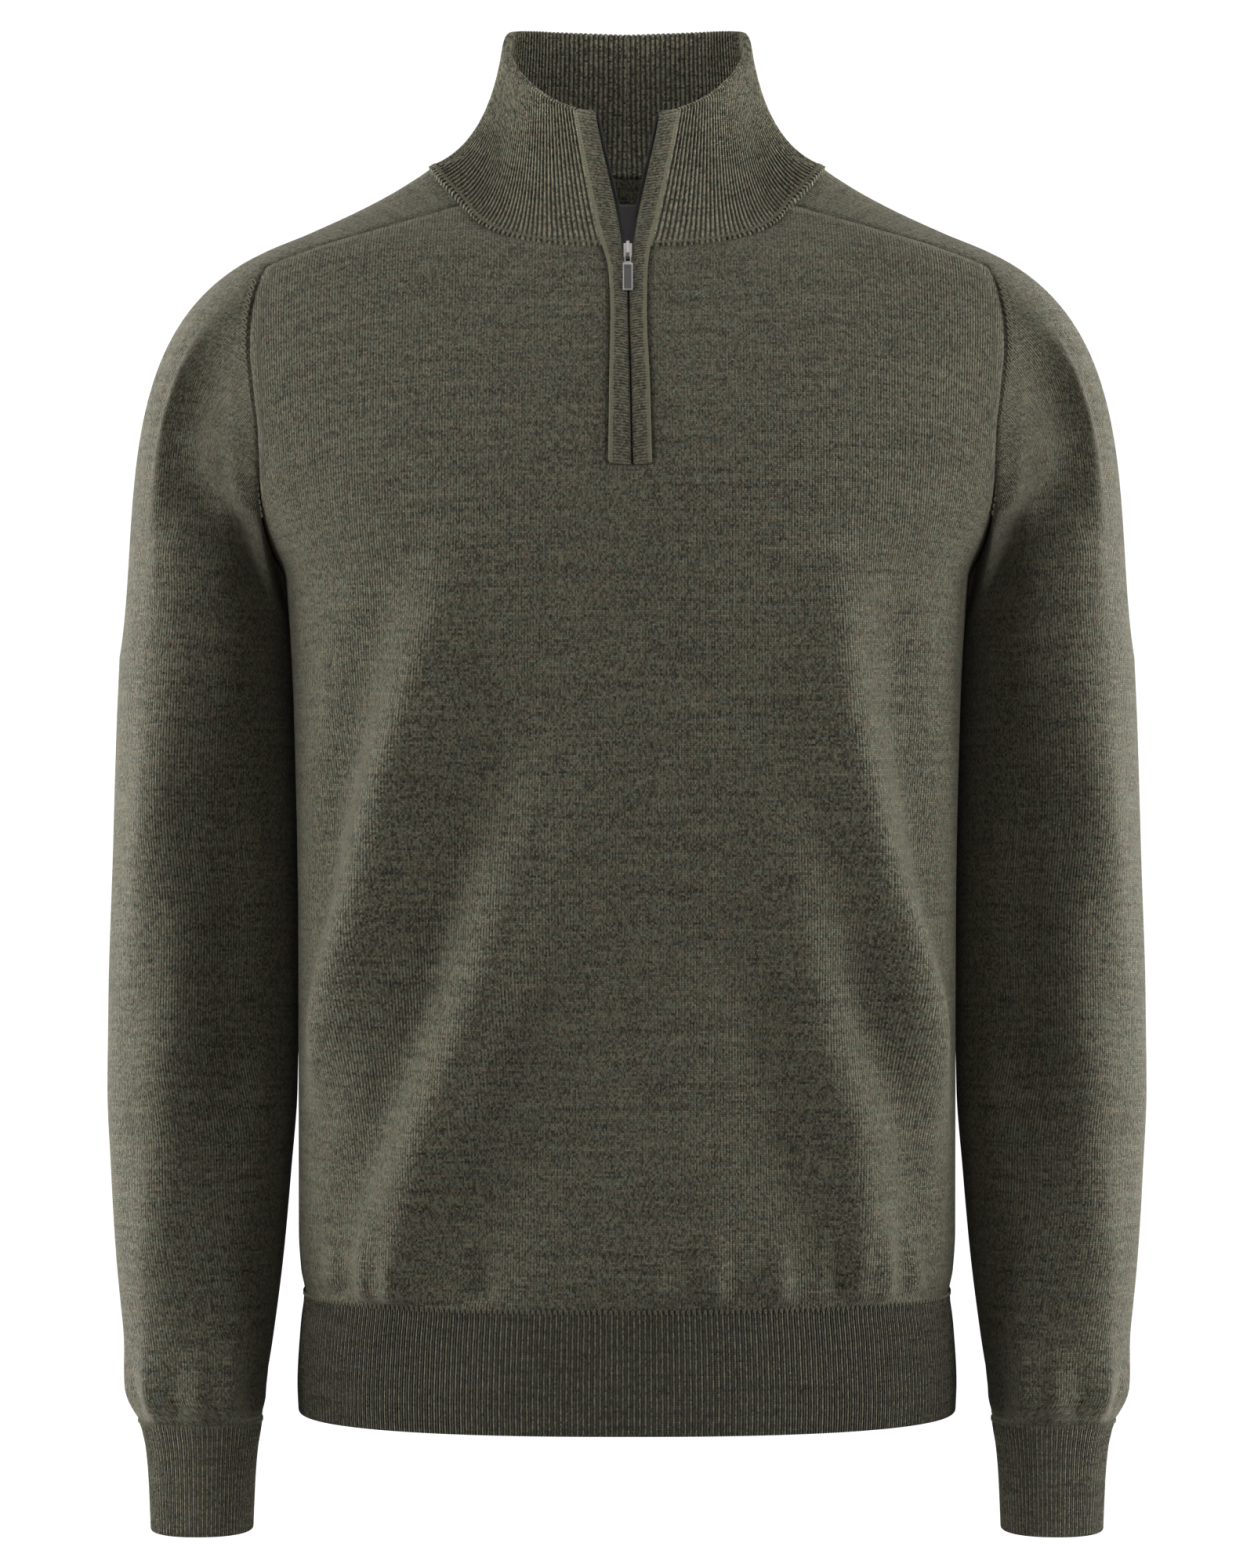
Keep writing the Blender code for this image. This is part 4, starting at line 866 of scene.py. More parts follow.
def seam_point(at, face):
    """Points of the seams on the wearer's left side from their half widths and heights."""
    return trunk_point(np.minimum(at[..., 0] / trunk(at[..., 1])[..., 0], 1.0), at[..., 1], face)


def collar_reach(share):
    """How many of the strip's rows the collar covers across it."""
    return COLLAR_DROP * np.sin(math.pi * share) ** 0.7


def strip_rows():
    """The part of a sleeve that runs over the shoulder, rows from its corners in to the neck."""
    ahead = seam_point(shoulder_run(front_shoulder, -1), -1)[:, None]
    behind = seam_point(shoulder_run(back_shoulder, 1), 1)[:, None]
    out = np.linspace(0, 1, SHOULDER_CELLS + 1)[:, None]
    share = np.linspace(0, 1, STRIP_CELLS + 1)[None]
    level = ahead * (1 - share[..., None]) + behind * share[..., None]
    bow = STRIP_NECK_BOW * (1 - out) ** 2 + STRIP_CORNER_BOW * out**2
    rows = shoulder_point(level[..., 0] + bow * np.sin(math.pi * share), level[..., 1])
    rows[:, :1], rows[:, -1:] = ahead, behind
    under = np.maximum(collar_reach(share[0]) - np.arange(SHOULDER_CELLS + 1)[:, None], 0) / COLLAR_DROP
    rows = rows - (trunk_normal(rows) * 0.7 + (0.7, 0, 0)) * UNDER_COLLAR * under[..., None]
    return rows[::-1]


def over_shoulder(points):
    return unit(shoulder_point(points[..., 0] - 0.006, points[..., 1]) - points)


def seam_columns(curve, shoulder, face):
    """An armhole's seam from the shoulder corner down, and the way the sleeve's columns arrive at it."""
    run = seam_point(armhole_run(curve, shoulder_run(shoulder, face)[-1]), face)
    order = np.arange(ARMHOLE_CELLS + 1)
    along = unit(run[np.minimum(order + FINE, ARMHOLE_CELLS)] - run[np.maximum(order - FINE, 0)])
    inward = unit(np.cross(trunk_normal(run), along)) * face
    share = np.linspace(0, 1, ARMHOLE_CELLS + 1)[:, None]
    corner = 1 - ease(share, 0.0, CORNER_BLEND)
    inward = unit(inward * (1 - corner) + over_shoulder(run[0]) * corner)
    groove = ease(share, GROOVE_FROM, GROOVE_TO)
    leave = unit(inward * (1 - groove) + GROOVE_DIRECTION * groove)
    return run, leave * (1 - groove + GROOVE_REACH * groove)


strip = strip_rows()
front_seam, front_leave = seam_columns(front_armhole, front_shoulder, -1)
back_seam, back_leave = seam_columns(back_armhole, back_shoulder, 1)
round_share = np.linspace(0, 1, ARMHOLE_CELLS + 1)[1:]
angles = np.concatenate([
    (ARM_FRONT_ANGLE + (math.pi - ARM_FRONT_ANGLE) * round_share)[::-1],
    ARM_FRONT_ANGLE * (1 - 2 * np.linspace(0, 1, STRIP_CELLS + 1)),
    -ARM_FRONT_ANGLE - (math.pi - ARM_FRONT_ANGLE) * round_share,
])
cap_end = np.vstack([front_seam[:0:-1], strip[0], back_seam[1:]])
cap_leave = np.vstack([front_leave[:0:-1], over_shoulder(strip[0]), back_leave[1:]])
tube_z = CUFF_SEAM_Z + (ARM_TOP_Z - CUFF_SEAM_Z) * (np.arange(ARM_CELLS + 1) / ARM_CELLS) ** ARM_SPREAD
tube = arm_ring(angles[None], tube_z[:, None])
start = tube[-1]
far = np.linalg.norm(cap_end - start, axis=1, keepdims=True)
rise = points_of(-CAP_LEAN * np.maximum(np.cos(angles), 0), 0.0, CAP_RISE) * far
t = (np.arange(1, CAP_CELLS + 1) / CAP_CELLS)[:, None, None]
cap = start * (1 + 2 * t) * (1 - t) ** 2 + rise * t * (1 - t) ** 2
cap = cap + cap_end * t * t * (3 - 2 * t) + cap_leave * far * CAP_REACH * t * t * (t - 1)
arm_grid = np.concatenate([tube, cap])
arm_out = unit(np.cross(np.gradient(arm_grid, axis=1), np.gradient(arm_grid, axis=0)))
arm_out *= np.sign(arm_out[ARM_CELLS // 2, ARMHOLE_CELLS + STRIP_CELLS // 2, 0])
clear = np.linalg.norm(arm_grid - arm_grid[-1:], axis=-1) / ROLL_CLEAR
swell = sum(crest_rise(arm_grid, *roll) for roll in ARM_ROLLS)
swell = swell * ease(-arm_out[..., 1], 0.0, 0.4) * np.minimum(clear, 1)
arm_grid = arm_grid + arm_out * swell[..., None]
middle = ARMHOLE_CELLS + STRIP_CELLS // 2
arm_u = run_length(arm_grid, 1)
arm_v = run_length(arm_grid, 0)
arm_knit = points_of(arm_u - arm_u[:, middle : middle + 1], arm_v)
strip_u = run_length(strip, 1)
strip_v = run_length(strip, 0) + arm_v[-1, ARMHOLE_CELLS : ARMHOLE_CELLS + STRIP_CELLS + 1]
strip_knit = points_of(strip_u - strip_u[:, STRIP_CELLS // 2, None], strip_v)

for side, flip in (("left", 1), ("right", -1)):
    grids = [
        (grid[:, ::flip] * (flip, 1, 1), knit[:, ::flip])
        for grid, knit in ((arm_grid, arm_knit), (strip, strip_knit))
    ]
    sleeve = knit_shell(f"sleeve_{side}_jersey", grids, JERSEY)
    dress(sleeve, f"sleeve_{side}", jersey)


# ---- hem band, cuffs and collar ------------------------------------------------------
# Rib bands in the same yarn, linked on loop by loop. The hem and the cuffs are turned in at their edge; the collar
# is a coarser doubled band, folded over at its rim, that stands up round the neck and opens in front.

HEM_Z = -0.6540
CUFF_Z = -0.7120
BAND_WALL = 0.0022
HEM_PITCH, CUFF_PITCH, COLLAR_PITCH = 0.00139, 0.00107, 0.0019
CUFF_COURSE = 0.00100
HEM_RISE, CUFF_RISE, COLLAR_RISE = 0.00035, 0.0003, 0.0009
HEM_RIBS, CUFF_RIBS, COLLAR_RIBS = 664, 164, 95
HEM_STEPS, CUFF_STEPS, COLLAR_STEPS = 4, 6, 6
HEM_ROWS, CUFF_ROWS, COLLAR_ROWS = 12, 14, 18
# the heights at which the hem's and the cuffs' ribs are an even pitch apart
HEM_EVEN_Z, CUFF_EVEN_Z = -0.62, -0.70
COLLAR_WAIST, COLLAR_WAIST_OPENING, COLLAR_WAIST_RISE = 0.80, 0.30, 0.22
COLLAR_WALL = 0.0028
COLLAR_POINTS, COLLAR_EASING = 241, 120
COLLAR_LAP = 0.03
# share of the rim from the front opening to the middle of the back, half width, y, height
collar_rim = Curve((
    (0.000, 0.0265, -0.0470, 0.0185),
    (0.085, 0.0384, -0.0380, 0.0243),
    (0.195, 0.0509, -0.0200, 0.0350),
    (0.330, 0.0602, 0.0040, 0.0480),
    (0.500, 0.0652, 0.0360, 0.0630),
    (0.660, 0.0634, 0.0620, 0.0738),
    (0.800, 0.0465, 0.0780, 0.0764),
    (1.000, 0.0000, 0.0850, 0.0756),
))


class Tree:
    """A Geometry Nodes tree under construction, with a geometry, named sizes and a finish as its inputs."""

    def __init__(self, name, sizes):
        self.group = bpy.data.node_groups.new(name, "GeometryNodeTree")
        self.group.is_modifier = True
        self.socket("Geometry", "INPUT", "Geometry")
        for title in sizes:
            self.socket(title, "INPUT", "Float")
        self.socket("Finish", "INPUT", "Material")
        self.socket("Geometry", "OUTPUT", "Geometry")
        self.given = self.group.nodes.new("NodeGroupInput").outputs

    def socket(self, title, way, kind):
        self.group.interface.new_socket(title, in_out=way, socket_type=f"NodeSocket{kind}")

    def add(self, kind, sockets, **settings):
        """Adds a node and gives back its first output; sockets and plain values go into its inputs."""
        made = self.group.nodes.new(kind)
        for key, value in settings.items():
            setattr(made, key, value)
        for key, value in sockets.items():
            if isinstance(value, bpy.types.NodeSocket):
                self.group.links.new(value, made.inputs[key])
            else:
                made.inputs[key].default_value = value
        return made.outputs[0]

    def way_out(self):
        """The attribute "out": the way out of the cloth."""
        return self.add("GeometryNodeInputNamedAttribute", {"Name": "out"}, data_type="FLOAT_VECTOR")

    def close(self, geometry):
        """Ends the tree: its instances made real, smooth and in their finish."""
        real = self.add("GeometryNodeRealizeInstances", {0: geometry})
        smooth = self.add("GeometryNodeSetShadeSmooth", {"Geometry": real})
        coated = self.add("GeometryNodeSetMaterial", {"Geometry": smooth, "Material": self.given["Finish"]})
        self.group.links.new(coated, self.group.nodes.new("NodeGroupOutput").inputs[0])
        return self.group


def set_out(mesh, outward):
    """Keeps the way out of the cloth at each point of a mesh, for the trees to read."""
    made = mesh.attributes.new("out", "FLOAT_VECTOR", "POINT")
    made.data.foreach_set("vector", outward.astype(np.float32).ravel())


def grow(piece, tree, **values):
    """Runs a tree on a piece and keeps what it makes as the piece's own plain mesh."""
    step = piece.modifiers.new(tree.name, "NODES")
    step.node_group = tree
    for item in tree.interface.items_tree:
        if item.name in values:
            step[item.identifier] = values[item.name]
    piece.data.update()
    seen = piece.evaluated_get(bpy.context.evaluated_depsgraph_get())
    made = bpy.data.meshes.new_from_object(seen)
    piece.modifiers.remove(step)
    piece.data = made
    made.name = piece.name


def turn_out(piece):
    """Turns every face of a closed piece outwards."""
    shape = bmesh.new()
    shape.from_mesh(piece.data)
    bmesh.ops.recalc_face_normals(shape, faces=shape.faces)
    shape.to_mesh(piece.data)
    shape.free()


def rib_tree():
    """Ribs that stand up along the attribute "out", one for each pitch of the attribute "across"."""
    tree = Tree("ribbing", ("Pitch", "Rise"))

    def maths(operation, *values):
        return tree.add("ShaderNodeMath", dict(enumerate(values)), operation=operation)

    across = tree.add("GeometryNodeInputNamedAttribute", {"Name": "across"})
    phase = maths("MULTIPLY", maths("DIVIDE", across, tree.given["Pitch"]), math.pi)
    ridge = maths("POWER", maths("ABSOLUTE", maths("SINE", phase)), 0.7)
    height = maths("MULTIPLY", ridge, tree.given["Rise"])
    push = tree.add("ShaderNodeVectorMath", {0: tree.way_out(), "Scale": height}, operation="SCALE")
    return tree.close(tree.add("GeometryNodeSetPosition", {"Geometry": tree.given["Geometry"], "Offset": push}))


ribbing = rib_tree()
# painted shade: the ribs' grooves are painted nearly black, and every second wale of the hem and cuffs darker
DEEP_RIB = {"groove_shade": 0.99, "height": 0.0008}
rib = knit_finish(
    "olive_rib", HEM_PITCH, JERSEY_COURSE, gain=1.62, gap_shade=0.4, sunk_wale_shade=0.64, groove_width=3.0, **DEEP_RIB
)
collar_rib = knit_finish(
    "olive_collar_rib", COLLAR_PITCH, JERSEY_COURSE, gain=2.2, gap_shade=0.6, groove_width=2.9, **DEEP_RIB
)
cuff_rib = knit_finish(
    "olive_cuff_rib", CUFF_PITCH, CUFF_COURSE, gain=2.35, gap_shade=0.4, sunk_wale_shade=0.55, groove_width=2.8, **DEEP_RIB
)


def rib_band(name, section, out, across, pitch, rise, finish, closed):
    """A closed band from its section's loop of rows, ribbed across its columns."""
    rows, columns = section.shape[:2]
    at = np.arange(rows * columns).reshape(rows, columns)
    ahead = np.roll(at, -1, axis=1) if closed else at[:, 1:]
    here = at if closed else at[:, :-1]
    above, above_ahead = np.roll(here, -1, axis=0), np.roll(ahead, -1, axis=0)
    quads = np.stack([here, ahead, above_ahead, above], axis=-1).reshape(-1, 4)
    along = run_length(section, 0)
    u = np.broadcast_to(across, (rows, columns))
    step = np.diff(u, axis=1)
    u_ahead = np.hstack([u[:, 1:], u[:, -1:] + step[:, -1:]]) if closed else u[:, 1:]
    u_here = u if closed else u[:, :-1]
    v_here = along if closed else along[:, :-1]
    v_ahead = np.roll(along, -1, axis=1) if closed else along[:, 1:]
    v_above = np.vstack([v_here[1:], v_here[-1:] + 0.001])
    v_far = np.vstack([v_ahead[1:], v_ahead[-1:] + 0.001])
    corners = (u_here, v_here), (u_ahead, v_ahead), (u_ahead, v_far), (u_here, v_above)
    uv = np.stack([points_of(*corner) for corner in corners], axis=2).reshape(-1, 2)
    faces = quads.tolist()
    if not closed:
        faces += [at[:, 0].tolist(), at[::-1, -1].tolist()]
        ends = np.concatenate([points_of(u[:, 0], along[:, 0]), points_of(u[::-1, -1], along[::-1, -1])])
        uv = np.concatenate([uv, ends])
    band = knitted(name, section.reshape(-1, 3), faces, uv)
    band.data.attributes.new("across", "FLOAT", "POINT").data.foreach_set("value", u.astype(np.float32).ravel())
    set_out(band.data, out)
    grow(band, ribbing, Pitch=pitch, Rise=rise, Finish=finish)
    turn_out(band)
    return band


def band_section(outer, outward, wall):
    """The loop of a doubled band: up its outside, over a rounded edge and down its inside."""
    edge, edge_out, up = outer[-1], outward[-1], unit(outer[-1] - outer[-2])
    turns = np.linspace(0, math.pi, 9)[1:-1, None, None]
    radius = wall / 2
    roll = edge + up * radius * np.sin(turns) - edge_out * radius * (1 - np.cos(turns))
    roll_out = edge_out * np.cos(turns) + up * np.sin(turns)
    inner = outer - outward * wall
    return np.concatenate([outer, roll, inner[::-1]]), np.concatenate([outward, roll_out, -outward[::-1]])


def even_turns(ring, count):
    """Turns round a closed ring that part it into equal lengths."""
    dense = np.linspace(0, 2 * math.pi, 4001)
    length = run_length(ring(dense), 0)
    return np.interp(np.arange(count) / count * length[-1], length, dense)


def trunk_ring(turn, height):
    sizes = trunk(height)
    out, ahead = np.cos(turn), np.sin(turn)
    depth = depth_of(sizes, ahead >= 0)
    return points_of(sizes[..., 0] * squarish(out, SQUARE), depth * squarish(ahead, SQUARE), height)


def ring_normals(rows):
    """Normals of a closed band of rows that run down, its columns turning outwards to the back."""
    around = np.roll(rows, -1, axis=1) - np.roll(rows, 1, axis=1)
    return unit(np.cross(np.gradient(rows, axis=0), around))


turns = even_turns(lambda turn: trunk_ring(turn, HEM_EVEN_Z), HEM_RIBS * HEM_STEPS)
ring = trunk_ring(turns[None], np.linspace(HEM_SEAM_Z, HEM_Z + BAND_WALL / 2, HEM_ROWS)[:, None])
section, out = band_section(ring, trunk_normal(ring), BAND_WALL)
across = np.arange(len(turns)) / HEM_STEPS * HEM_PITCH
hem = rib_band("hem_band", section[::-1], out[::-1], across, HEM_PITCH, HEM_RISE, rib, True)
dress(hem, "hem_rib", rib)

turns = even_turns(lambda turn: arm_ring(-turn, CUFF_EVEN_Z), CUFF_RIBS * CUFF_STEPS)
ring = arm_ring(-turns[None], np.linspace(CUFF_SEAM_Z, CUFF_Z + BAND_WALL / 2, CUFF_ROWS)[:, None])
section, out = band_section(ring, ring_normals(ring), BAND_WALL)
across = np.arange(len(turns)) / CUFF_STEPS * CUFF_PITCH
for side, flip in (("left", 1), ("right", -1)):
    sides = (section * (flip, 1, 1))[::-flip], (out * (flip, 1, 1))[::-flip]
    cuff = rib_band(f"cuff_{side}_band", *sides, across, CUFF_PITCH, CUFF_RISE, cuff_rib, True)
    dress(cuff, f"cuff_{side}", cuff_rib)


def smoothed(line, times):
    """A line drawn towards its neighbouring points a number of times, its ends kept."""
    for _ in range(times):
        line[1:-1] = (line[:-2] + line[1:-1] * 2 + line[2:]) / 4
    return line


def collar_base(side):
    """The neck seam on one side, from the front opening round to the middle of the back."""
    share, height, sign = (left_share, left_z, 1) if side > 0 else (right_share, right_z, -1)
    drop = SHOULDER_CELLS - collar_reach(np.linspace(0, 1, STRIP_CELLS + 1)[1:])
    row, column = np.floor(drop - 1e-9).astype(int), np.arange(1, STRIP_CELLS + 1)
    top = strip[row, column] + (strip[row, column] - strip[row - 1, column]) * (drop - row)[:, None]
    top = top + trunk_normal(top) * JERSEY
    front = on_panel(sign * share[-1, : NECK_CELLS + 1], height[-1, : NECK_CELLS + 1], -1)
    back = on_panel(sign * back_share[-1, BACK_NECK_CELLS::-1], back_z[-1, BACK_NECK_CELLS::-1], 1)
    line = np.vstack([front, top * (side, 1, 1), back[1:]])
    length = run_length(line, 0)
    return smoothed(along_line(np.linspace(0, length[-1], COLLAR_POINTS), length, line), COLLAR_EASING)


def collar_line(side, along, up):
    """Points of the collar's outside: along from its front edge to the back, and up from the seam to the rim."""
    base = collar_base(side)
    length = run_length(base, 0)
    share = np.clip(along, 0, 1)
    foot = along_line(share * length[-1], length, base)
    rim = collar_rim(share) * (side, 1, 1)
    front = (1 - ease(share, 0.0, 0.2))[..., None]
    draw = COLLAR_WAIST * (1 - front) + COLLAR_WAIST_OPENING * front
    waist = foot * (1 - COLLAR_WAIST) + rim * COLLAR_WAIST
    waist[..., :1] = foot[..., :1] * (1 - draw) + rim[..., :1] * draw
    waist[..., 2] = foot[..., 2] * (1 - COLLAR_WAIST_RISE) + rim[..., 2] * COLLAR_WAIST_RISE
    t = up[..., None]
    return foot * (1 - t) ** 2 + waist * 2 * t * (1 - t) + rim * t * t


def grid_normals(rows, turn):
    return turn * unit(np.cross(np.gradient(rows, axis=1), np.gradient(rows, axis=0)))


collar_along = np.linspace(0, 1, COLLAR_RIBS * COLLAR_STEPS + 1)
rim, below = (collar_line(1, collar_along, np.full_like(collar_along, up)) for up in (1.0, 0.9))
rise_to = 1 - COLLAR_WALL / 2 / np.linalg.norm(rim - below, axis=1) * 0.1
up = np.linspace(0, 1, COLLAR_ROWS)[:, None] * (rise_to[None] + COLLAR_LAP) - COLLAR_LAP
halves = []
for side in (1, -1):
    rows = collar_line(side, collar_along[None].repeat(COLLAR_ROWS, 0), up)
    halves.append(band_section(rows, grid_normals(rows, side), COLLAR_WALL))
section, out = (np.concatenate([left[:, :-1], right[:, ::-1]], axis=1) for left, right in zip(*halves))
across = np.arange(section.shape[1]) / COLLAR_STEPS * COLLAR_PITCH
collar = rib_band("collar_band", section, out, across, COLLAR_PITCH, COLLAR_RISE, collar_rib, False)
dress(collar, "collar", collar_rib)


# ---- placket strips ------------------------------------------------------------------
# A narrow strip of rib is linked round each side of the slot and up the collar's front edge, its ribs across it.
# The two meet over the zip, part at the slider and end rounded at the collar's rim.

PLACKET_PITCH, PLACKET_COURSE = 0.0016, 0.00110
PLACKET_THICK = 0.0028
PLACKET_RISE = 0.00035
PLACKET_STEPS = 6
RIB_SLANT = 0.0012
STRIP_MIDDLE = -0.0010
ROUND_END = 0.0016
LEAN_HEIGHTS = (-0.062, -0.044)
LEAN_REACH, LEAN_LEVEL = 0.04, 0.4
PLACKET_EASING = 60
# height, half of the opening between the strips
placket_gap = Curve((
    (-0.1680, 0.0006),
    (-0.0760, 0.0006),
    (-0.0620, 0.0016),
    (-0.0525, 0.0031),
    (-0.0377, 0.0056),
    (-0.0153, 0.0107),
    (0.0020, 0.0148),
    (0.0185, 0.0181),
))
# share of the strip's width from its linked edge, height over the cloth
PLACKET_SECTION = (
    (-0.02, -0.0008), (0.03, 0.0002), (0.10, 0.0007), (0.22, 0.0010), (0.36, 0.0011), (0.50, 0.0011),
    (0.64, 0.0010), (0.78, 0.0008), (0.90, 0.0003), (0.97, -0.0005), (1.00, -0.0014), (0.98, -0.0023),
    (0.92, -0.0028), (0.75, -0.0030), (0.50, -0.0030), (0.25, -0.0029), (0.08, -0.0025), (0.00, -0.0018),
)


def placket_lines(side):
    """The linked edge of a strip, its free edge and the way out of the cloth, up from the slot's foot."""
    low = np.linspace(SLOT_FOOT_Z, NECK_FRONT_Z, 400)
    edge_low = on_panel(side * slot_edge(side, low) / trunk(low)[..., 0], low, -1)
    out_low = trunk_normal(edge_low)
    up = np.linspace(0, 1, 300)[1:]
    edge_high = collar_line(side, np.zeros_like(up), up)
    beside = collar_line(side, np.full_like(up, LEAN_REACH), up)
    along = unit(np.gradient(edge_high, axis=0))
    lean = unit((edge_high - beside) * (1, 1, LEAN_LEVEL))
    out_high = unit(np.cross(along, lean)) * side
    edge = np.vstack([edge_low, edge_high])
    across = np.vstack([np.tile((-side, 0, 0), (len(low), 1)), lean])
    blend = ease(edge[:, 2:], *LEAN_HEIGHTS)
    across = unit(across * blend + np.array((-side, 0, 0)) * (1 - blend))
    out = smoothed(np.vstack([out_low, out_high]), PLACKET_EASING)
    out = unit(out - across * (out * across).sum(1, keepdims=True))
    free_x = slot(np.minimum(edge[:, 2], NECK_FRONT_Z))[:, 1] + side * placket_gap(edge[:, 2])[:, 0]
    width = (free_x - edge[:, 0]) / across[:, 0]
    return edge, across * width[:, None], out


def even_rows(*lines):
    """Lines sampled again so that each rib along the first has the same number of rows."""
    length = run_length(lines[0], 0)
    count = int(round(length[-1] / PLACKET_PITCH)) * PLACKET_STEPS
    at = np.linspace(0, length[-1], count + 1)
    return at, [along_line(at, length, line) for line in lines]


placket_rib = knit_finish(
    "olive_placket_rib",
    PLACKET_PITCH,
    PLACKET_COURSE,
    gain=1.15,
    groove_shade=0.65,
    gap_shade=0.3,
    height=0.0003,
    groove_width=1.8,
)
placket_edges = {}
for name, side in (("left", 1), ("right", -1)):
    at, (edge, across, out) = even_rows(*placket_lines(side))
    placket_edges[name] = (edge, across, out)
    share, lift = np.array(PLACKET_SECTION).T[..., None]
    end = np.clip((at[-1] - at) / ROUND_END, 0, 1)
    round_end = np.sqrt(1 - (1 - end) ** 2)[None, :, None]
    heights = STRIP_MIDDLE + (lift[..., None] - STRIP_MIDDLE) * (0.15 + 0.85 * round_end)
    centre = 0.5 + (share[..., None] - 0.5) * (0.80 + 0.20 * round_end)
    section = edge[None] + across[None] * centre + out[None] * heights
    push = unit(np.cross(np.gradient(section, axis=1), np.gradient(section, axis=0))) * side
    phase = at[None] + share * RIB_SLANT
    strip_name = f"placket_{name}_strip"
    placket = rib_band(strip_name, section, push, phase, PLACKET_PITCH, PLACKET_RISE, placket_rib, False)
    dress(placket, f"placket_{name}", placket_rib)


# ---- zip -----------------------------------------------------------------------------
# A closed-end coil zip no wider than a lace. Its two woven tapes are sewn behind the placket strips, and along each
# tape's edge runs a nylon coil that shows as a dark beaded line where the strips part above the slider.

TOOTH_PITCH = 0.0012
TAPE_WIDTH, TAPE_THICK, TAPE_GAP = 0.0050, 0.0005, 0.0004
TAPE_SHUT, TAPE_OPEN, OPEN_HEIGHTS = 0.0004, 0.0015, (-0.072, -0.050)
COIL_FROM, COIL_LIFT, COIL_IN = 0.40, 0.0004, 0.0003


def woven_finish(name, colour, pitch, roughness):
    """A plain tabby weave of fine threads."""
    finish = Finish(name, roughness, sheen=0.1)
    u, v = finish.knit_uv()
    over = (u / pitch * math.pi).math("SINE") * (v / pitch * math.pi).math("SINE")
    thread = finish.noise(u * 2500, v * 900, 0.0, 2.0)
    tone = over * 0.12 + thread * 0.35 + 0.7
    dark = tuple(part * 0.45 for part in colour)
    finish.feed(finish.surface.inputs["Base Color"], finish.mix(tone.math("MINIMUM", 1.0), dark, colour))
    finish.bump(over + thread, 0.0001)
    return finish.material


tape_cloth = woven_finish("black_zip_tape", (0.030, 0.030, 0.027), 0.0004, 0.75)
nylon = Finish("black_nylon_coil", 0.42)
tone = nylon.node("ShaderNodeTexNoise", None, {"Vector": nylon.place(), "Scale": 900.0})
nylon.feed(nylon.surface.inputs["Base Color"], nylon.mix(tone, (0.010, 0.010, 0.009), (0.030, 0.029, 0.027)))


def loop_tree():
    """Yarn or wire loops set along lines of points, each along the line and facing the attribute "out"."""
    tree = Tree("loops along a line", ("Pitch", "Length", "Width", "Thread", "Tilt"))
    given = tree.given
    line = tree.add("GeometryNodeMeshToCurve", {"Mesh": given["Geometry"]})
    points = tree.add("GeometryNodeCurveToPoints", {"Curve": line, "Length": given["Pitch"]}, mode="LENGTH")
    ring = tree.add("GeometryNodeCurvePrimitiveCircle", {"Resolution": 12, "Radius": 0.5})
    size = tree.add("ShaderNodeCombineXYZ", {"X": given["Length"], "Y": given["Width"], "Z": 1.0})
    oval = tree.add("GeometryNodeTransform", {"Geometry": ring, "Scale": size})
    thread = tree.add("GeometryNodeCurvePrimitiveCircle", {"Resolution": 5, "Radius": given["Thread"]})
    loop = tree.add("GeometryNodeCurveToMesh", {"Curve": oval, "Profile Curve": thread})
    align = "FunctionNodeAlignRotationToVector"
    along = tree.add(align, {"Vector": points.node.outputs["Tangent"]}, axis="X")
    turned = tree.add(align, {"Rotation": along, "Vector": tree.way_out()}, axis="Z", pivot_axis="X")
    tilt = tree.add("FunctionNodeAxisAngleToRotation", {"Axis": (0.0, 0.0, 1.0), "Angle": given["Tilt"]})
    tilted = tree.add("FunctionNodeRotateRotation", {"Rotation": turned, "Rotate By": tilt}, rotation_space="LOCAL")
    sockets = {"Points": points, "Instance": loop, "Rotation": tilted}
    return tree.close(tree.add("GeometryNodeInstanceOnPoints", sockets))


looping = loop_tree()


def loops(name, lines, finish, slot_name, pitch, length, width, thread, tilt=0.0):
    """A run of loops along each line; a line is its points and the way out of the cloth at each."""
    points = np.concatenate([line[0] for line in lines])
    outward = np.concatenate([line[1] for line in lines])
    edges, base = [], 0
    for line, _ in lines:
        edges += [(base + i, base + i + 1) for i in range(len(line) - 1)]
        base += len(line)
    mesh = bpy.data.meshes.new(name)
    mesh.from_pydata(points.tolist(), edges, [])
    set_out(mesh, outward)
    piece = placed(name, mesh)
    grow(piece, looping, Pitch=pitch, Length=length, Width=width, Thread=thread, Tilt=tilt, Finish=finish)
    dress(piece, None, finish)


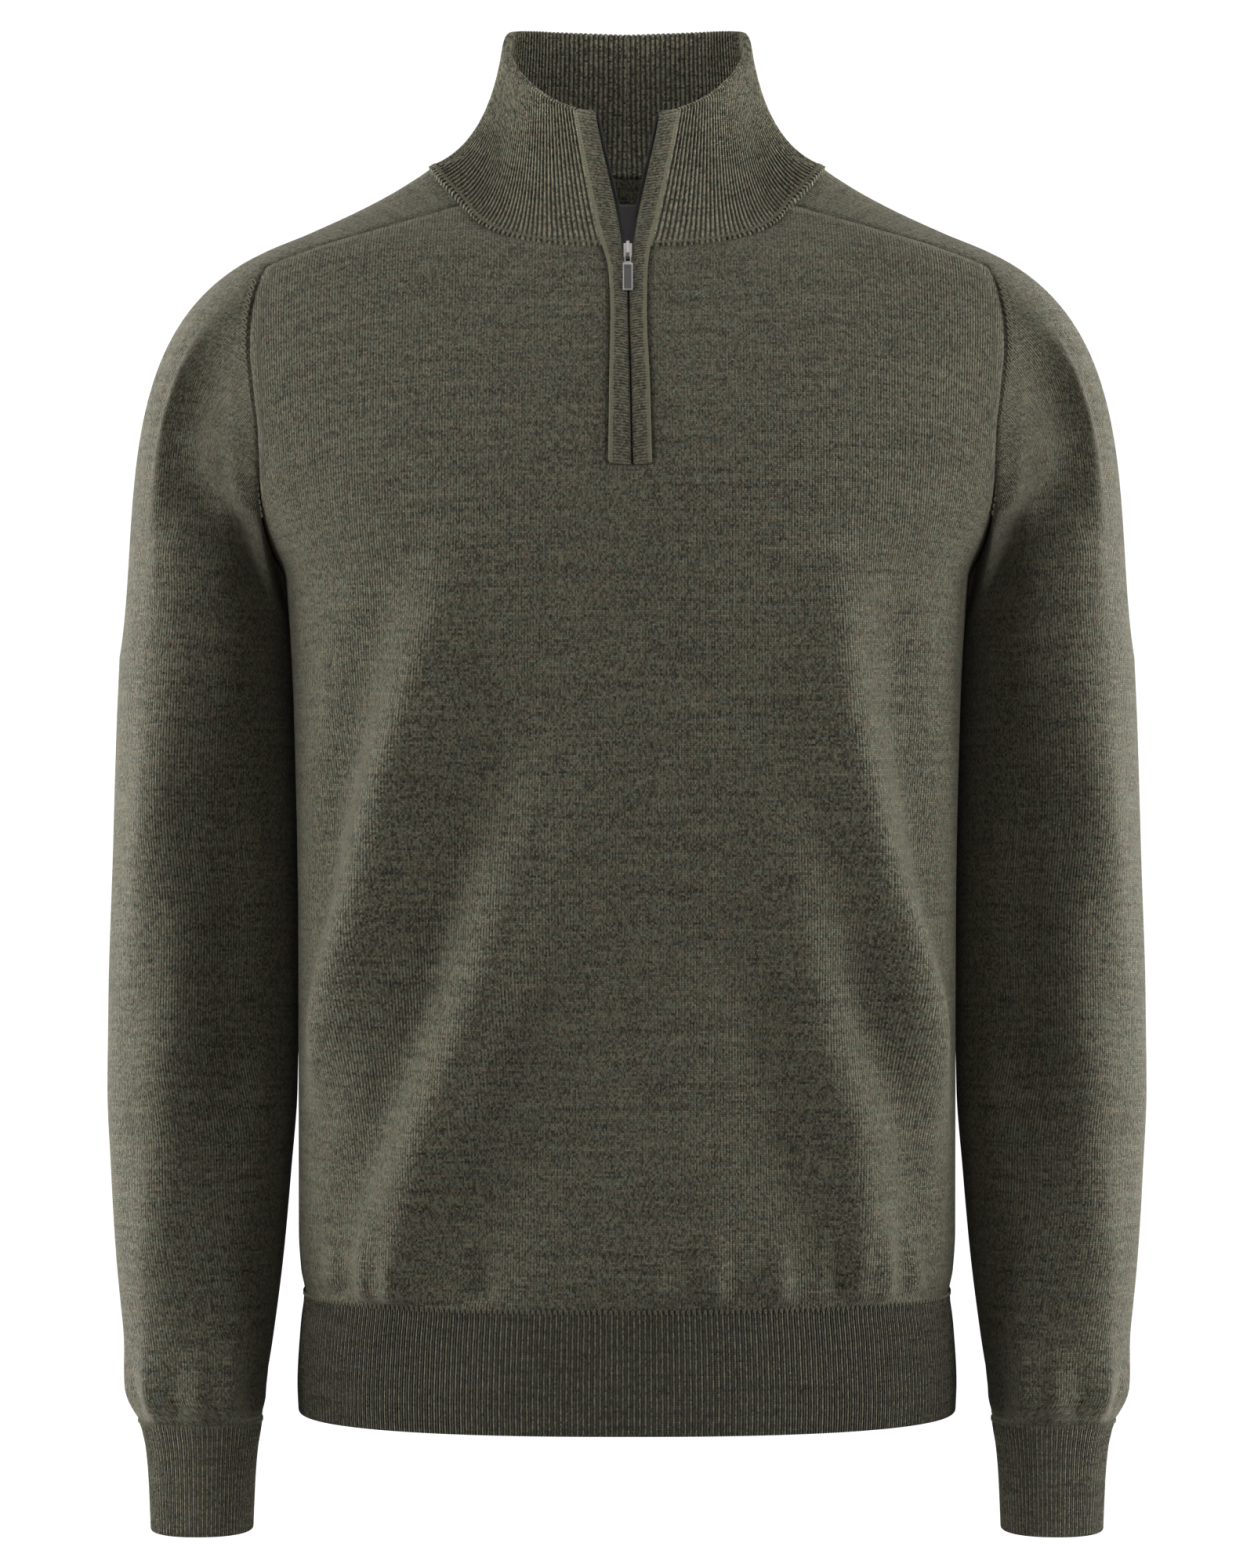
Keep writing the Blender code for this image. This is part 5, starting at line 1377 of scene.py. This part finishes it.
def ribbon(name, left_edge, right_edge, outward, thick):
    """A flat tape between two lines, its face turned out."""
    count = len(left_edge)
    layers = [left_edge, right_edge, right_edge - outward * thick, left_edge - outward * thick]
    verts = np.stack(layers, axis=1).reshape(-1, 3)
    faces, uvs = [], []
    length = run_length((left_edge + right_edge) / 2, 0)
    widths = np.linalg.norm(right_edge - left_edge, axis=1)
    for i in range(count - 1):
        a, b = 4 * i, 4 * i + 4
        for first, second, u0, u1 in ((0, 1, 0.0, 1.0), (1, 2, 1.0, 1.0), (2, 3, 1.0, 0.0), (3, 0, 0.0, 0.0)):
            faces.append((a + first, a + second, b + second, b + first))
            uvs += [(widths[i] * u0, length[i]), (widths[i] * u1, length[i])]
            uvs += [(widths[i] * u1, length[i + 1]), (widths[i] * u0, length[i + 1])]
    last = 4 * (count - 1)
    faces += [(3, 2, 1, 0), (last, last + 1, last + 2, last + 3)]
    uvs += [(0.0, 0.0)] * 8
    mesh = bpy.data.meshes.new(name)
    mesh.from_pydata(verts.tolist(), [], faces)
    mesh.uv_layers.new(name="knit").data.foreach_set("uv", np.array(uvs, dtype=np.float32).ravel())
    piece = placed(name, mesh)
    turn_out(piece)
    return piece


coil_lines = []
for name, side in (("left", 1), ("right", -1)):
    edge, across, out = placket_edges[name]
    free = edge + across
    inward = unit(across)
    parted = ease(free[:, 2:], *OPEN_HEIGHTS)
    reach = TAPE_SHUT * (1 - parted) + TAPE_OPEN * parted
    under = -out * (PLACKET_THICK + TAPE_GAP)
    inner = free + inward * reach + under
    outer = free - inward * TAPE_WIDTH + under
    tape = ribbon(f"zip_tape_{name}_cloth", outer[:-8], inner[:-8], out[:-8], TAPE_THICK)
    dress(tape, f"zip_tape_{name}", tape_cloth)
    shown = slice(int(len(free) * COIL_FROM), -10)
    coil_lines.append((inner[shown] + out[shown] * COIL_LIFT - inward[shown] * COIL_IN, out[shown]))
loops("zip_coil", coil_lines, nylon.material, "tape", TOOTH_PITCH, length=0.0010, width=0.0017, thread=0.00033)


# ---- slider and pull tab -------------------------------------------------------------
# Die-cast zinc, plated in satin nickel. Its colour is painted lighter on its sharp edges, a painted highlight,
# and darker in its hollows, painted shade, with a soft random cloud in it. The tab's recessed panel is painted
# darker still, as painted shade. The tab hangs from a link in the slider's bridge.

# size and middle of the tab's recessed panel, which is painted dark as painted shade
SHADED_PANEL, SHADED_PANEL_MIDDLE = (0.0038, 0.0130), 0.0073
nickel = Finish("satin_nickel", 0.34, metallic=0.75)
place = nickel.place()
grain = nickel.node("ShaderNodeTexNoise", None, {"Vector": place, "Scale": 2600.0, "Detail": 3.0})
cloud = nickel.node("ShaderNodeTexNoise", None, {"Vector": place, "Scale": 320.0, "Detail": 2.0})
pointed = nickel.node("ShaderNodeNewGeometry", None, None, 7)
# painted highlight on sharp edges and painted shade in hollows, by pointiness, with a random cloud
edge_light_and_cloud = ((pointed - 0.5) * 6 + 0.5 + cloud * 0.4 - 0.2).math("MINIMUM", 1.0).math("MAXIMUM", 0.0)
tab_corners = np.array(bpy.data.objects["zip_pull_tab"].bound_box)
tab_x, shaded_panel_z = tab_corners[:, 0].mean(), tab_corners[:, 2].min() + SHADED_PANEL_MIDDLE
at_x = nickel.node("ShaderNodeSeparateXYZ", None, {0: place})
at_z = Wire(nickel, at_x.socket.node.outputs[2])
beside = (at_x - tab_x).math("ABSOLUTE").math("LESS_THAN", SHADED_PANEL[0] / 2)
panel_shade_mask = beside * (at_z - shaded_panel_z).math("ABSOLUTE").math("LESS_THAN", SHADED_PANEL[1] / 2)
plated = nickel.mix(edge_light_and_cloud, (0.36, 0.345, 0.32), (0.76, 0.745, 0.71))
# painted shade: the tab's recessed panel is painted dark
nickel.feed(nickel.surface.inputs["Base Color"], nickel.mix(panel_shade_mask, plated, (0.22, 0.215, 0.21)))
nickel.feed(nickel.surface.inputs["Roughness"], grain * 0.25 + 0.22)
nickel.bump(grain, 0.00002)
for node in ("zip_slider", "zip_pull_tab"):
    part = bpy.data.objects[node]
    part.data.materials.clear()
    part.data.materials.append(nickel.material)


# ---- neck label ----------------------------------------------------------------------
# A damask-woven label, folded under at its ends and sewn to the inside of the back just below the collar. Its face
# is left plain.

# painted light: the label's colour is painted lighter than its own charcoal to make up for the dim light inside the
# neck
label_cloth = woven_finish("charcoal_woven_label", (0.175, 0.162, 0.170), 0.00035, 0.6)
LABEL_HALF, LABEL_TOP, LABEL_FOOT = 0.0188, -0.0150, -0.0565
LABEL_IN, LABEL_THICK = 0.0023, 0.0006
LABEL_COLUMNS, LABEL_ROWS = 25, 31
label_x = np.linspace(LABEL_HALF, -LABEL_HALF, LABEL_COLUMNS)[None].repeat(LABEL_ROWS, 0)
label_z = np.linspace(LABEL_FOOT, LABEL_TOP, LABEL_ROWS)[:, None].repeat(LABEL_COLUMNS, 1)
label_points = on_panel(label_x / trunk(label_z)[..., 0], label_z, 1)
label_points -= trunk_normal(label_points) * LABEL_IN
label_knit = points_of(label_x, label_z)
label = knit_shell("neck_label_cloth", [(label_points, label_knit)], LABEL_THICK, dip=0.0)
dress(label, "neck_label", label_cloth)


# ---- linking and fashioning stitches -------------------------------------------------
# Bands are linked to the cloth loop by loop, which leaves a raised chain along each seam. Along the armholes the
# stitches carried in to narrow the pieces stand up as a row of small marks.

YARN = 0.0004
HEM_LIFT, CUFF_LIFT, COLLAR_LIFT, CHAIN_LIFT = 0.0007, 0.0004, 0.0010, 0.0008
CHAIN_PITCH, CHAIN_AT = 0.00145, 0.03
MARK_PITCH, MARK_INSET = 0.0036, 0.0034
COLLAR_START = 0.012
HEM_POINTS, CUFF_POINTS, COLLAR_SEAM_POINTS = 600, 301, 260
# painted highlight: the linking stitches are painted lighter than the cloth they are made of
yarn = knit_finish("olive_seam_yarn", YARN, YARN, gain=1.3, groove_shade=0.1, gap_shade=0.1, height=0.0001)


def over(points, outward, lift):
    return points + outward * lift, outward


hem_turns = np.linspace(0, 2 * math.pi, HEM_POINTS, endpoint=False)
hem_ring = trunk_ring(hem_turns, np.full(HEM_POINTS, HEM_SEAM_Z))
hem_ring = np.vstack([hem_ring, hem_ring[:1]])
hem_line = over(hem_ring, trunk_normal(hem_ring), HEM_LIFT)
loops("hem_linking", [hem_line], yarn, "rib", 2 * HEM_PITCH, length=0.0010, width=0.0017, thread=0.00028)
cuff_turns = np.linspace(0, 2 * math.pi, CUFF_POINTS)
cuff_lines = []
for flip in (1, -1):
    around = arm_ring(cuff_turns, np.full(CUFF_POINTS, CUFF_SEAM_Z - CUFF_LIFT)) * (flip, 1, 1)
    centre = around[:-1].mean(axis=0)
    cuff_lines.append(over(around, unit((around - centre) * (1, 1, 0)), CUFF_LIFT))
loops("cuff_linking", cuff_lines, yarn, "rib", 2 * CUFF_PITCH, length=0.0009, width=0.0014, thread=0.00024)
collar_lines = []
along = np.linspace(COLLAR_START, 1, COLLAR_SEAM_POINTS)
foot_up = np.array((0.0, 0.02, 0.04))[:, None].repeat(COLLAR_SEAM_POINTS, 1)
for side in (1, -1):
    base = collar_line(side, along, np.full(COLLAR_SEAM_POINTS, COLLAR_START))
    foot_rows = collar_line(side, along[None].repeat(3, 0), foot_up)
    collar_lines.append(over(base, grid_normals(foot_rows, side)[1], COLLAR_LIFT))
loops("collar_linking", collar_lines, yarn, "rib", COLLAR_PITCH, length=0.0011, width=0.0018, thread=0.00030)
chain_lines = []
for name in ("left", "right"):
    edge, across, out = placket_edges[name]
    chain_lines.append(over(edge[6:-6] + across[6:-6] * CHAIN_AT, out[6:-6], CHAIN_LIFT))
# painted highlight: the placket's raised linking stitches are painted much lighter than the cloth, with painted
# shade in the gaps between them
highlit_seam_yarn = knit_finish("pale_seam_yarn", YARN, YARN, gain=3.2, groove_shade=0.5, gap_shade=0.5, height=0.0001)
chain = {"length": 0.0023, "width": 0.0010, "thread": 0.00033, "tilt": 0.95}
loops("placket_linking", chain_lines, highlit_seam_yarn, "rib", CHAIN_PITCH, **chain)
mark_lines = []
for flip in (1, -1):
    for seam, leave in ((front_seam, front_leave), (back_seam, back_leave)):
        outward = trunk_normal(seam)
        inset = seam - unit(leave) * MARK_INSET
        mark_lines.append(over(inset[2:-8] * (flip, 1, 1), outward[2:-8] * (flip, 1, 1), 0.0))
mark = {"length": 0.0042, "width": 0.0018, "thread": 0.00060, "tilt": 0.8}
loops("fashioning_marks", mark_lines, jersey, "jersey", MARK_PITCH, **mark)
